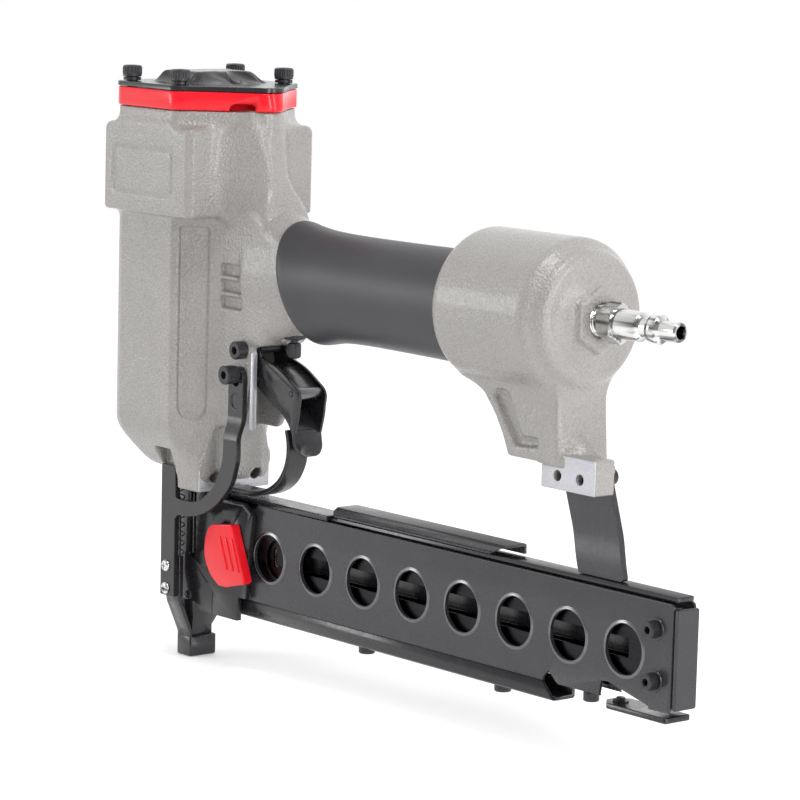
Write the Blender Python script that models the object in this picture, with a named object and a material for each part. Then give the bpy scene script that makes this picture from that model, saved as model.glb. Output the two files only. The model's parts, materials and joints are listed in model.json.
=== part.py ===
"""Pneumatic flooring nailer: painted body casting, nose, side magazine and air plug.

Lengths below are in millimetres and are turned into metres by the helpers.
+X runs from the nose to the magazine's tail, +Z along the driver, the tool is mirrored in Y.
Shapes are drawn from the driver's axis; the frame's origin is the foot's front edge, in front of it.
"""
import math
import bpy
import bmesh
from mathutils import Matrix, Vector

MM = 0.001
GAP = 0.3                    # clearance kept between neighbouring pieces

# --- driving dimensions -------------------------------------------------------
DRIVER_AXIS = Vector((5.2, 0, 0))        # from the frame's origin to the driver's axis
PLATE_TOP = 261.7            # top of the black cover plate
RING_TOP = 259.4             # top of the red exhaust ring
RING_LOW = 251.0             # underside of the red ring
NECK_TOP = 250.7             # top face of the casting
SCREW_X, SCREW_Y = 17.9, 29.0            # head screw pattern, half spacings
BORE_R = 25.2                # bore of the casting
SLEEVE_R, SLEEVE_IN = 22.6, 19.6         # cylinder sleeve
HANDLE_Z = 180.0             # handle axis height
GRIP_H, GRIP_W = 23.8, 19.0              # rubber grip, half height and half width
CORE_H, CORE_W = 20.0, 15.4              # cast handle inside the rubber
DRUM_Z, DRUM_R = 182.0, 32.0             # rear air drum
DRUM_X0, DRUM_X1 = 190.0, 254.7
PLUG_Z = 182.0
TRIGGER_X, TRIGGER_Z = 46.8, 146.6       # trigger pivot
LEVER_X, LEVER_Z = 74.6, 130.0           # pin of the small lever in the trigger
VALVE_X = 66.2               # axis of the trigger valve
EAR_IN, EAR_OUT = 9.0, 13.2              # trigger bracket ears, inner and outer faces
ARM_Y = 20.1                 # outer face of the safety plate
SAFETY_TRAVEL = 3.0
FOOT_SCREW_X = 1.8
STROKE = 70.0                # piston stroke
HOLE_X, HOLE_PITCH, HOLE_Z, HOLE_R = 59.6, 32.37, 54.4, 10.3   # eight windows in the cover
MAG_X0, MAG_X1 = 32.5, 312.9             # magazine cover, front and rear
MAG_Z0, MAG_Z1 = 33.3, 76.8              # magazine cover, bottom and top
MAG_Y = 6.3                  # outer face of the magazine cover
RAIL_TOP = 79.5              # top face of the long top rail
RAIL_Y, RAIL_END = 4.6, 313.4  # half width of the rail behind its front plate, and its rear end

SLATE = (0.030, 0.031, 0.036, 1)
BLACK = (0.018, 0.018, 0.021, 1)
PAINT = (0.46, 0.44, 0.42, 1)
RED = (0.78, 0.012, 0.020, 1)
STEEL = (0.55, 0.55, 0.56, 1)


# --- helpers --------------------------------------------------------------------
def clear_scene():
    for item in list(bpy.data.objects):
        bpy.data.objects.remove(item, do_unlink=True)


def material(name, colour, rough, metal):
    mat = bpy.data.materials.new(name)
    mat.use_nodes = True
    shader = mat.node_tree.nodes["Principled BSDF"]
    shader.inputs["Base Color"].default_value = colour
    shader.inputs["Roughness"].default_value = rough
    shader.inputs["Metallic"].default_value = metal
    return mat


def to_object(name, bm, origin=(0, 0, 0)):
    """Close a bmesh given in millimetres into an object whose origin is `origin`."""
    bmesh.ops.remove_doubles(bm, verts=bm.verts, dist=0.0005)
    bmesh.ops.recalc_face_normals(bm, faces=bm.faces)
    bm.transform(Matrix.Translation(-Vector(origin)))
    bm.transform(Matrix.Scale(MM, 4))
    mesh = bpy.data.meshes.new(name)
    bm.to_mesh(mesh)
    bm.free()
    obj = bpy.data.objects.new(name, mesh)
    obj.location = (Vector(origin) + DRIVER_AXIS) * MM
    bpy.context.scene.collection.objects.link(obj)
    return obj


def box(name, lo, hi, chamfer=0.0, origin=None):
    bm = bmesh.new()
    bmesh.ops.create_cube(bm, size=1.0)
    size = [b - a for a, b in zip(lo, hi)]
    mid = [(a + b) / 2 for a, b in zip(lo, hi)]
    bm.transform(Matrix.Translation(mid) @ Matrix.Diagonal((*size, 1)))
    if chamfer:
        bmesh.ops.bevel(bm, geom=list(bm.edges), offset=chamfer, segments=1,
                        affect="EDGES", profile=0.5)
    return to_object(name, bm, origin or mid)


def prism(name, outline, axis, start, end, origin=None):
    """Extrude a closed 2-D outline along X, Y or Z between two positions."""
    def place(u, v, w):
        return {"X": (w, u, v), "Y": (u, w, v), "Z": (u, v, w)}[axis]
    bm = bmesh.new()
    low = [bm.verts.new(place(u, v, start)) for u, v in outline]
    high = [bm.verts.new(place(u, v, end)) for u, v in outline]
    bm.faces.new(low)
    bm.faces.new(high)
    count = len(outline)
    for i in range(count):
        j = (i + 1) % count
        bm.faces.new((low[i], low[j], high[j], high[i]))
    mid = origin or place(*[sum(p[k] for p in outline) / count for k in (0, 1)],
                          (start + end) / 2)
    return to_object(name, bm, mid)


def loft(name, sections, origin=(0, 0, 0)):
    """Skin between rings of points that all have the same count, and cap both ends."""
    bm = bmesh.new()
    rings = [[bm.verts.new(p) for p in ring] for ring in sections]
    bm.faces.new(rings[0])
    bm.faces.new(rings[-1])
    for a, b in zip(rings, rings[1:]):
        for i in range(len(a)):
            j = (i + 1) % len(a)
            bm.faces.new((a[i], a[j], b[j], b[i]))
    return to_object(name, bm, origin)


def turned(name, profile, axis, centre, steps=24):
    """Turn (position, radius) pairs round an axis; a zero radius closes the end."""
    frame = {"X": (Vector((1, 0, 0)), Vector((0, 1, 0)), Vector((0, 0, 1))),
             "Y": (Vector((0, 1, 0)), Vector((0, 0, 1)), Vector((1, 0, 0))),
             "Z": (Vector((0, 0, 1)), Vector((1, 0, 0)), Vector((0, 1, 0)))}[axis]
    bm = bmesh.new()
    rings = []
    for along, radius in profile:
        ring = []
        for i in range(steps):
            turn = 2 * math.pi * (i + 0.5) / steps
            side = frame[1] * math.cos(turn) + frame[2] * math.sin(turn)
            ring.append(bm.verts.new(Vector(centre) + frame[0] * along + side * radius))
        rings.append(ring)
    closed = profile[0] == profile[-1]
    for a, b in zip(rings, rings[1:]):
        for i in range(steps):
            j = (i + 1) % steps
            bm.faces.new((a[i], a[j], b[j], b[i]))
    if not closed:
        bm.faces.new(rings[0])
        bm.faces.new(rings[-1])
    obj = to_object(name, bm, centre)
    obj.data.shade_smooth()
    obj.data.set_sharp_from_angle(angle=math.radians(35))
    return obj


def tube(name, axis, centre, start, end, outer, inner=0.0, steps=24):
    if inner:
        path = [(start, inner), (start, outer), (end, outer), (end, inner), (start, inner)]
    else:
        path = [(start, outer), (end, outer)]
    return turned(name, path, axis, centre, steps)


def hexagon(radius, spin=0.0):
    return [(radius * math.cos(math.radians(60 * i + spin)),
             radius * math.sin(math.radians(60 * i + spin))) for i in range(6)]


def coil(name, centre, radius, wire, z0, z1, turns, steps=14, sides=6):
    """A compression spring along Z with flat caps on the wire's ends."""
    bm = bmesh.new()
    count = int(turns * steps)
    rings = []
    for k in range(count + 1):
        turn = 2 * math.pi * k / steps
        rise = z0 + wire + (z1 - z0 - 2 * wire) * k / count
        out = Vector((math.cos(turn), math.sin(turn), 0))
        ring = []
        for s in range(sides):
            a = 2 * math.pi * s / sides
            point = out * (radius + wire * math.cos(a)) + Vector((0, 0, rise + wire * math.sin(a)))
            ring.append(bm.verts.new(Vector((centre[0], centre[1], 0)) + point))
        rings.append(ring)
    bm.faces.new(rings[0])
    bm.faces.new(rings[-1])
    for a, b in zip(rings, rings[1:]):
        for s in range(sides):
            t = (s + 1) % sides
            bm.faces.new((a[s], a[t], b[t], b[s]))
    obj = to_object(name, bm, (centre[0], centre[1], z0))
    obj.data.shade_smooth()
    return obj


def combine(target, other, how="UNION"):
    """Boolean one object into another and drop the second."""
    tool = target.modifiers.new(how.title(), "BOOLEAN")
    tool.operation = how
    tool.solver = "EXACT"
    tool.object = other
    other.hide_render = True
    other.display_type = "WIRE"
    graph = bpy.context.evaluated_depsgraph_get()
    graph.update()
    shape = bpy.data.meshes.new_from_object(target.evaluated_get(graph))
    target.modifiers.clear()
    target.data = shape
    bpy.data.objects.remove(other, do_unlink=True)
    return target


def join(target, *others):
    for other in others:
        combine(target, other, "UNION")
    return target


def cut(target, *others):
    for other in others:
        combine(target, other, "DIFFERENCE")
    return target


def mirrored(points):
    """Complete a half outline given on the near side (-Y) with its mirror image."""
    return points + [(x, -y) for x, y in reversed(points)]


def mirrored_z(points):
    """Complete an outline of (y, z) pairs given on the near side with its mirror image."""
    return points + [(-y, z) for y, z in reversed(points)]


def body_section(z, front, rear, half, corner, rear_in, rear_side):
    """One ring of the barrel: squared front corners and sloped rear corners."""
    near = [(front, -(half - corner)), (front + 0.29 * corner, -(half - 0.29 * corner)),
            (front + corner, -half), (rear - rear_in, -half),
            (rear - 0.25 * rear_in, -(half - 0.6 * rear_side)), (rear, -(half - rear_side))]
    return [(x, y, z) for x, y in mirrored(near)]


def head_outline(grow=0.0):
    """Plan of the ring and plate: bowed front over the bore, and a pointed rear lobe."""
    near = [(-28.2 - grow, -8.5), (-26.4 - grow, -18.0)]
    for angle in (180, 210, 240, 270):
        near.append((-SCREW_X + (6 + grow) * math.cos(math.radians(angle)),
                     -SCREW_Y + (6 + grow) * math.sin(math.radians(angle))))
    for angle in (270, 292.5, 315):
        near.append((SCREW_X + (6 + grow) * math.cos(math.radians(angle)),
                     -SCREW_Y + (6 + grow) * math.sin(math.radians(angle))))
    for angle in (-45, -22, -8):
        near.append((36.2 + (13.5 + grow) * math.cos(math.radians(angle)),
                     (13.5 + grow) * math.sin(math.radians(angle))))
    return mirrored(near)


def socket_screw(name, spot, axis, head_r, head_h, shank_r, shank, out=1, key=2.0, steps=20):
    """Socket head screw; `spot` is where the head seats and `out` the side it shows."""
    profile = [(-shank * out, shank_r), (0, shank_r), (0, head_r),
               (head_h * 0.9 * out, head_r), (head_h * out, head_r * 0.93)]
    screw = turned(name, profile, axis, spot, steps)
    hexes = [Vector(p) for p in hexagon(key)]
    ends = (head_h * 0.45 * out, (head_h + 1) * out)
    if axis == "Z":
        tool = prism("key", [(spot[0] + p.x, spot[1] + p.y) for p in hexes], "Z",
                     spot[2] + ends[0], spot[2] + ends[1])
    else:
        tool = prism("key", [(spot[0] + p.x, spot[2] + p.y) for p in hexes], "Y",
                     spot[1] + ends[0], spot[1] + ends[1])
    return cut(screw, tool)


def paint(obj, mat):
    obj.data.materials.clear()
    obj.data.materials.append(mat)
    return obj


def anchor(name, spot):
    """An empty that marks a joint's axis and carries its moving pieces."""
    empty = bpy.data.objects.new(name, None)
    empty.location = (Vector(spot) + DRIVER_AXIS) * MM
    bpy.context.scene.collection.objects.link(empty)
    return empty


def carry(empty, *pieces):
    bpy.context.view_layer.update()
    for piece in pieces:
        piece.parent = empty
        piece.matrix_parent_inverse = empty.matrix_world.inverted()


clear_scene()
M_PAINT = material("hammered_paint", PAINT, 0.45, 0.0)
M_BLACK = material("black_steel", BLACK, 0.38, 0.5)
M_SLATE = material("black_screw", SLATE, 0.45, 0.6)
M_RED = material("red_gloss", RED, 0.25, 0.0)
M_RUBBER = material("soft_rubber", (0.040, 0.041, 0.046, 1), 0.62, 0.0)
M_CHROME = material("bright_plating", (0.80, 0.80, 0.80, 1), 0.10, 1.0)
M_STEEL = material("steel", STEEL, 0.30, 1.0)
M_ALLOY = material("alloy", (0.70, 0.71, 0.72, 1), 0.35, 1.0)
M_SEAL = material("seal", (0.02, 0.02, 0.02, 1), 0.60, 0.0)

# --- body casting -----------------------------------------------------------------
barrel = loft("body_casting", [
    body_section(87.5, -14, 14, 17, 7, 8, 8),
    body_section(90.0, -18, 22, 20, 8, 8, 10),
    body_section(95.0, -23, 25.5, 23, 8, 9, 10),
    body_section(106.0, -31, 26.5, 29, 8, 13, 15.5),
    body_section(186.0, -31, 26.5, 29, 8, 13, 15.5),
    body_section(197.0, -30.8, 28, 31, 7.5, 12, 14),
    body_section(204.0, -30.5, 34, 35.5, 5, 3, 4),
    body_section(240.0, -30.5, 34, 35.5, 5, 3, 4),
    body_section(243.0, -27.5, 31, 32.5, 5, 3, 4),
])
neck = prism("neck", head_outline(-0.6), "Z", 241.0, NECK_TOP)
bore_wall = tube("bore_wall", "Z", (0, 0, 0), 196, 246, BORE_R + 4.5, steps=32)


def root_section(z, side_x, half, ridge_x, ridge):
    """Plan of the block behind the barrel: flat sides that close in to a narrow rear ridge."""
    near = [(14, -half), (side_x, -half), ((side_x + 2 * ridge_x) / 3, -(half + 2 * ridge) / 3),
            (ridge_x, -ridge)]
    return [(x, y, z) for x, y in mirrored(near)]


root = loft("handle_root", [
    root_section(110, 44, EAR_OUT, 51.4, EAR_OUT - 0.1),
    root_section(147.5, 44, EAR_OUT, 51.9, EAR_OUT - 0.1),
    root_section(151.5, 56, EAR_OUT, 68, 11.5),
    root_section(158.5, 70, EAR_OUT, 90, 11),
    root_section(196, 70, EAR_OUT, 90, 9),
    root_section(203.5, 52, 13, 84, 6.5),
    root_section(209, 44, 12.6, 65.5, 6),
    root_section(215, 41, 12.4, 56.5, 5.6),
    root_section(225, 38, 12.4, 51.8, 5.4),
    root_section(249, 37, 12.4, 49.0, 5.2)])
handle = loft("handle", [
    [(x, w * math.cos(2 * math.pi * i / 20), HANDLE_Z + h * math.sin(2 * math.pi * i / 20))
     for i in range(20)]
    for x, h, w in ((50, 20, 13), (72, 20.5, 14.5), (95, CORE_H, CORE_W), (200, CORE_H, CORE_W))])
drum = turned("drum", [(DRUM_X0 - 1.0, 26), (DRUM_X0 + 0.6, 30), (DRUM_X0 + 4, DRUM_R),
                       (246, DRUM_R), (250.5, 29.6), (DRUM_X1, 22)], "X", (0, 0, DRUM_Z), 32)
boss = prism("boss", [(y, PLUG_Z + z) for y, z in hexagon(13.8, 30)], "X", 240, 261)
leg = prism("leg", [
    (190, 158), (199, 153), (208, 146.5), (214.5, 139), (219, 131.5), (222.5, 123.6),
    (253, 123.3), (252.4, 136), (251.5, 150), (250, 165), (200, 170)], "Y", -14, 14)
lug = box("lug", (241, -12, 113.5), (272.5, -1, 128), 0.0)
flare = prism("flare", [(240, 123.3), (272.5, 123.3), (272.5, 125), (262, 128), (253, 137),
                        (240, 137)], "Y", -12, -1)
heel = box("heel", (8.6, -20, 79.8), (24.7, 20, 96), 0.0)
ledge = loft("ledge", [
    [(10, -20, 92), (25.2, -20, 92), (25.2, 20, 92), (10, 20, 92)],
    [(10, -20, 108), (26.5, -20, 108), (26.5, 20, 108), (10, 20, 108)],
    [(10, -13, 112), (26.5, -13, 112), (26.5, 13, 112), (10, 13, 112)]])
join(barrel, neck, bore_wall, root, handle, drum, boss, leg, lug, flare, heel, ledge)

# bore, air passage, drum chamber and plug thread
cut(barrel,
    tube("bore", "Z", (0, 0, 0), 112, 260, BORE_R, steps=32),
    tube("driver_port", "Z", (0, 0, 0), 70, 118, 7.2, steps=16),
    loft("passage", [
        [(x, w * math.cos(2 * math.pi * i / 16), HANDLE_Z + h * math.sin(2 * math.pi * i / 16))
         for i in range(16)]
        for x, h, w in ((10, 13, 9), (60, 15, 10), (95, 15.5, 11), (205, 15.5, 11))]),
    turned("chamber", [(198, 14), (201, 26), (240, 27), (247, 20)], "X", (0, 0, DRUM_Z), 24),
    tube("plug_thread", "X", (0, 0, PLUG_Z), 240, 266, 6.6, steps=20))
# trigger pocket between the two ears, open to the rear and below
cut(barrel,
    box("pocket", (29.5, -EAR_IN, 104), (54, EAR_IN, 153.5)),
    tube("valve_seat", "Z", (VALVE_X, 0, 0), 140, 163.4, 5.4, steps=20))
# exhaust slots, side panel groove and leg panels, on both sides
for side in (-1, 1):
    for low in (178.4, 171.3, 164.2):
        cut(barrel, box("slot", (31.0, side * 12.2 - 2.6, low), (47.5, side * 12.2 + 2.6, low + 5.0)))
    cut(barrel, prism("leg_panel", [(212, 148), (243, 148), (246.5, 131), (228.5, 131), (224, 136)],
                      "Y", side * 13.0, side * 16))
    for x in (-SCREW_X, SCREW_X):
        cut(barrel, tube("tapped", "Z", (x, side * SCREW_Y, 0), 236, 255, 2.8, steps=14))
    # nose screws in the machined rear face
    cut(barrel, tube("face_hole", "X", (0, side * 11.5, 86.5), 14, 30, 2.7, steps=14))
for x in (250.6, 263.6):
    cut(barrel, tube("strap_hole", "Y", (x, 0, 119.4), -16, 2, 2.3, steps=14))
cut(barrel,
    tube("pivot_hole", "Y", (TRIGGER_X, 0, TRIGGER_Z), -16, 16, 2.4, steps=14),
    tube("guide_hole", "Y", (45.5, 0, 135.8), -16, -8, 2.4, steps=14),
    box("finger_slot", (-3.3, -24, 80), (8.3, -16.7, 98)))
barrel.data.shade_smooth()
barrel.data.set_sharp_from_angle(angle=math.radians(30))
paint(barrel, M_PAINT)

# --- head: ring, plate, screws ---------------------------------------------------------
ring = prism("exhaust_ring", head_outline(), "Z", RING_LOW, RING_TOP)
cut(ring, tube("ring_bore", "Z", (0, 0, 0), 245, 265, BORE_R, steps=32))
for side in (-1, 1):
    port = box("port", (-7, -5.6, -1), (7, 5.6, 3.0))
    port.rotation_euler = (0, 0, math.radians(-45 * -side))
    port.location = (Vector((39.5, side * 10.5, RING_LOW + 0.9)) + DRIVER_AXIS) * MM
    bpy.context.view_layer.update()
    cut(ring, port)
    for x in (-SCREW_X, SCREW_X):
        cut(ring, tube("through", "Z", (x, side * SCREW_Y, 0), 245, 265, 2.8, steps=14))
paint(ring, M_RED)

plate = prism("head_cover_plate", head_outline(0.3), "Z", RING_TOP + GAP, PLATE_TOP)
rise = loft("rise", [
    [(x, y, PLATE_TOP - 0.4) for x, y in ((-15.5, -22), (15.5, -22), (15.5, 22), (-15.5, 22))],
    [(x, y, 267.0) for x, y in ((-10.5, -16.5), (10.5, -16.5), (10.5, 16.5), (-10.5, 16.5))]])
hollow = loft("hollow", [
    [(x, y, RING_TOP - 1) for x, y in ((-12.5, -18), (12.5, -18), (12.5, 18), (-12.5, 18))],
    [(x, y, 264.6) for x, y in ((-8.5, -14), (8.5, -14), (8.5, 14), (-8.5, 14))]])
join(plate, rise)
cut(plate, hollow)
SEATS = [(x, y) for y in (-SCREW_Y, SCREW_Y) for x in (-SCREW_X, SCREW_X)]
WASHER = 1.3
for number, (x, y) in enumerate(SEATS, 1):
    cut(plate, tube("through", "Z", (x, y, 0), 255, 265, 2.8, steps=14))
    washer = tube("head_washer_%d" % number, "Z", (x, y, 0), PLATE_TOP + GAP,
                  PLATE_TOP + GAP + WASHER, 4.0, 2.8, steps=16)
    cut(washer, box("split", (x + 1.5, y - 0.25, 255), (x + 6, y + 0.25, 270)))
    paint(washer, M_SLATE)
    screw = socket_screw("head_screw_%d" % number, (x, y, PLATE_TOP + GAP + WASHER + GAP),
                         "Z", 4.25, 5.0, 2.5, 25.0, 1, 2.3, steps=16)
    paint(screw, M_SLATE)
paint(plate, M_BLACK)

# --- working parts in the bore ------------------------------------------------------------
sleeve = tube("cylinder_sleeve", "Z", (0, 0, 0), 112.3, 228, SLEEVE_R, SLEEVE_IN, steps=32)
join(sleeve, tube("flange", "Z", (0, 0, 0), 219, 224, BORE_R - GAP, SLEEVE_R - 1, steps=32))
paint(sleeve, M_ALLOY)
bumper = turned("rubber_bumper", [(112.3, 7.6), (112.3, 18.6), (124, 18.6), (128.5, 15.5),
                                  (128.5, 7.6), (112.3, 7.6)], "Z", (0, 0, 0), 24)
paint(bumper, M_SEAL)
piston = turned("piston", [(199, 9), (199, 12), (204, 19.2), (209.3, 19.2), (209.3, 17.2),
                           (212.6, 17.2), (212.6, 19.2), (217, 19.2), (217, 9)], "Z", (0, 0, 0), 28)
cut(piston, box("blade_slot", (-1.1, -5.4, 190), (1.1, 5.4, 210)))
paint(piston, M_ALLOY)
o_ring = turned("piston_o_ring", [(209.7, 17.6), (209.7, 19.35), (212.2, 19.35), (212.2, 17.6),
                                  (209.7, 17.6)], "Z", (0, 0, 0), 28)
paint(o_ring, M_SEAL)
blade = box("driver_blade", (-0.8, -5.1, 74.8), (0.8, 5.1, 209.5), origin=(0, 0, 200))
paint(blade, M_STEEL)
head_valve = turned("head_valve", [(229.5, 12), (229.5, 24.6), (240, 24.6), (240, 21), (233, 21),
                                   (233, 12), (229.5, 12)], "Z", (0, 0, 0), 28)
paint(head_valve, M_SEAL)
valve_spring = coil("head_valve_spring", (0, 0), 17.6, 1.0, 233.3, 259.2, 4)
paint(valve_spring, M_STEEL)
piston_axis = anchor("piston_axis", (0, 0, 200))
carry(piston_axis, piston, o_ring, blade)
valve_axis = anchor("head_valve_axis", (0, 0, 230))
carry(valve_axis, head_valve)

# --- rubber grip ----------------------------------------------------------------------------
def grip_ring(x_top, x_low, high, wide, steps=28):
    ring_points = []
    for i in range(steps):
        turn = 2 * math.pi * i / steps
        rise = math.sin(turn)
        x = (x_top + x_low) / 2 + (x_top - x_low) / 2 * rise
        ring_points.append((x, wide * math.cos(turn), HANDLE_Z + high * rise))
    return ring_points


grip = loft("rubber_grip", [
    grip_ring(69, 87, 25.2, 18.5), grip_ring(71, 89, 26.6, 20.6), grip_ring(77, 95, 25.4, 20.0),
    grip_ring(90, 104, GRIP_H, GRIP_W), grip_ring(130, 134, 23.2, 19.0),
    grip_ring(188.3, 188.3, GRIP_H, GRIP_W)])
inner = loft("inner", [
    [(x, w * math.cos(2 * math.pi * i / 20), HANDLE_Z + h * math.sin(2 * math.pi * i / 20))
     for i in range(20)]
    for x, h, w in ((40, 22.5, 16.2), (95, CORE_H + GAP, CORE_W + GAP),
                    (200, CORE_H + GAP, CORE_W + GAP))])
cut(grip, inner, prism("root_room", [(40, 130), (90.4, 130), (90.4, 158), (90.4, 202.8), (80, 206.4),
                                     (62, 217), (40, 230)], "Y", -EAR_OUT - GAP, EAR_OUT + GAP))
grip.data.shade_smooth()
grip.data.set_sharp_from_angle(angle=math.radians(40))
paint(grip, M_RUBBER)

# --- air plug ----------------------------------------------------------------------------------
plug = turned("air_plug", [(249, 3.0), (249, 6.3), (261.6, 6.3), (261.6, 7.2), (272.5, 7.2),
                           (274, 6.0), (284, 6.0), (285.5, 4.3), (289, 4.3), (290, 5.9),
                           (294.5, 5.9), (296, 4.0), (305, 4.0), (305, 2.4), (296, 2.4),
                           (290, 2.8), (255, 3.0), (249, 3.0)], "X", (0, 0, PLUG_Z), 24)
nut = prism("nut", [(y, PLUG_Z + z) for y, z in hexagon(8.1)], "X", 262.2, 271.6)
cut(nut, tube("nut_bore", "X", (0, 0, PLUG_Z), 255, 280, 6.0, steps=24))
paint(join(plug, nut), M_CHROME)

# --- trigger valve ---------------------------------------------------------------------------------
housing = tube("trigger_valve_housing", "Z", (VALVE_X, 0, 0), 152.9, 163.0, 5.1, 3.3, steps=20)
paint(housing, M_SLATE)
stem = turned("trigger_valve_stem", [(144.4, 2.4), (144.9, 2.9), (151.0, 2.9), (151.4, 1.6),
                                     (158.0, 1.6)], "Z", (VALVE_X, 0, 0), 16)
paint(stem, M_SLATE)
stem_spring = coil("trigger_valve_spring", (VALVE_X, 0), 2.4, 0.35, 151.7, 162.6, 3, 10, 5)
paint(stem_spring, M_STEEL)
stem_axis = anchor("valve_stem_axis", (VALVE_X, 0, 150))
carry(stem_axis, stem)

# --- trigger: channel of two cheeks and a web, small lever on its own pin --------------------------
CHEEK = [(42.6, 145.6), (43.6, 149.2), (46.8, 150.6), (50.0, 149.2), (52.6, 143.6), (60, 141.6),
         (66.5, 139.2), (73.6, 135.2), (78.7, 131.9), (80.2, 128.6), (79.1, 120.1), (77.0, 112.0),
         (75.4, 112.0), (70.7, 118.1), (59.9, 124.7), (49.7, 130.5), (44.5, 137.0)]
CHEEK_Y = 8.0
trigger = prism("trigger", CHEEK, "Y", -CHEEK_Y, CHEEK_Y, origin=(TRIGGER_X, 0, TRIGGER_Z))
tongue_edge = [(-CHEEK_Y + 0.05, 114.0)] + [
    (-1.9 - 6.05 * math.cos(math.radians(a)), 108.4 - 6.05 * math.sin(math.radians(a)))
    for a in range(0, 91, 18)]
tongue = loft("tongue", [[(x + 0.16 * (114 - z), y, z) for y, z in mirrored_z(tongue_edge)]
                         for x in (75.0, 76.5)])
join(trigger, tongue)
cut(trigger, prism("channel", [(38, 160), (38, 142.2), (45.6, 137.6), (50.5, 132.0), (60.6, 126.1),
                               (71.6, 119.3), (76.0, 114.2), (77.6, 111.0), (95, 111.0), (95, 160)],
                   "Y", -6.6, 6.6))
cut(trigger, tube("pivot_bore", "Y", (TRIGGER_X, 0, TRIGGER_Z), -12, 12, 2.4, steps=14),
    tube("pin_bore", "Y", (LEVER_X, 0, LEVER_Z), -12, 12, 1.4, steps=12))
paint(trigger, M_SLATE)
lever = prism("trigger_lever", [(52.6, 140.2), (53.2, 142.0), (60, 140.9), (66.5, 138.5),
                                (73.6, 134.5), (77.8, 132.4), (79.4, 130.8), (79.2, 128.2),
                                (77.4, 127.2), (73.0, 127.4), (71.6, 131.2), (66, 136.2), (59.5, 139.2)],
              "Y", -6.3, 6.3, origin=(LEVER_X, 0, LEVER_Z))
cut(lever, tube("lever_bore", "Y", (LEVER_X, 0, LEVER_Z), -12, 12, 1.4, steps=12))
paint(lever, M_SLATE)
lever_pin = tube("trigger_lever_pin", "Y", (LEVER_X, 0, LEVER_Z), -8.2, 8.2, 1.1, steps=12)
paint(lever_pin, M_SLATE)
trigger_axis = anchor("trigger_axis", (TRIGGER_X, 0, TRIGGER_Z))
lever_axis = anchor("trigger_lever_axis", (LEVER_X, 0, LEVER_Z))
carry(trigger_axis, trigger, lever_pin)
carry(lever_axis, lever)
carry(trigger_axis, lever_axis)

pivot = socket_screw("trigger_pivot_screw", (TRIGGER_X, -EAR_OUT - GAP, TRIGGER_Z), "Y", 4.0, 5.0,
                     2.1, 26.0, -1, 2.0, steps=16)
paint(pivot, M_SLATE)
guide = socket_screw("safety_guide_screw", (45.5, -18.6, 135.8), "Y", 4.2, 4.6, 2.1, 9.6, -1, 2.0,
                     steps=16)
paint(guide, M_SLATE)
guide_washer = tube("safety_guide_washer", "Y", (45.5, 0, 135.8), -18.3, -16.6, 4.0, 2.4, steps=16)
paint(guide_washer, M_SLATE)

# --- trigger guard -----------------------------------------------------------------------------------
def band_outline(path, thick):
    """Offset a path to both sides to make the side view of a bent strip."""
    left, right = [], []
    for i, spot in enumerate(path):
        before = Vector(path[max(i - 1, 0)])
        after = Vector(path[min(i + 1, len(path) - 1)])
        run = (after - before).normalized()
        side = Vector((-run.y, run.x)) * thick / 2
        left.append(tuple(Vector(spot) + side))
        right.append(tuple(Vector(spot) - side))
    return left + right[::-1]


guard = prism("trigger_guard", band_outline(
    [(68.2, 113.0), (69.6, 107.5), (69.6, 101.5), (67.8, 95.5), (63.8, 89.6), (57.8, 85.2),
     (51.0, 82.5), (43.0, 81.2), (28.0, 81.0)], 2.2), "Y", -5.5, 5.5)
paint(guard, M_BLACK)

# --- safety: side plate and foot ---------------------------------------------------------------------
low_y = -ARM_Y
safety_plate = prism("safety_plate", [
    (42.5, 109.0), (52.2, 109.0), (51.9, 98.7), (50.4, 93.1), (48.0, 87.0), (43.8, 81.9),
    (37.8, 76.4), (31.7, 72.7), (25.1, 69.9), (18.5, 68.4), (9.5, 67.6), (7.6, 65.6), (7.8, 29.7),
    (-2.4, 29.7), (-2.8, 89.6), (7.6, 89.6), (7.9, 76.4), (9.4, 75.2), (16.5, 75.0), (24.1, 76.2),
    (29.8, 79.4), (35.2, 84.2), (39.6, 91.3), (41.2, 98.4)], "Y", low_y, low_y + 3.0,
    origin=(2.3, -18.6, 60))
joggle = loft("joggle", [
    [(x, y, z) for x, y in ((x0, y0), (x1, y0), (x1, y1), (x0, y1))]
    for z, x0, x1, y0, y1 in ((105.0, 42.2, 51.8, -20.05, -17.15), (108.6, 42.3, 51.9, -20.05, -17.15),
                              (116.5, 40.4, 50.6, -16.25, -13.55), (122.0, 40.4, 50.6, -16.25, -13.55))])
cap = [(45.5 + 5.2 * math.cos(math.radians(a)), 134.0 + 5.2 * math.sin(math.radians(a)))
       for a in range(0, 181, 20)]
arm = prism("arm", [(40.3, 118.5), (50.7, 118.5)] + cap[0:], "Y", -16.3, -13.5)
join(safety_plate, joggle, arm)
SLOT_R = 2.4
slot = [(45.5 + SLOT_R * math.cos(math.radians(a)),
         (135.8 if a < 180 else 135.8 - SAFETY_TRAVEL) + SLOT_R * math.sin(math.radians(a)))
        for a in range(0, 360, 20)]
cut(safety_plate, prism("arm_slot", slot, "Y", -22, -10))
for z in (43.4, 33.0):
    cut(safety_plate, tube("foot_hole", "Y", (FOOT_SCREW_X, 0, z), -24, -12, 2.0, steps=12))
paint(safety_plate, M_BLACK)

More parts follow.
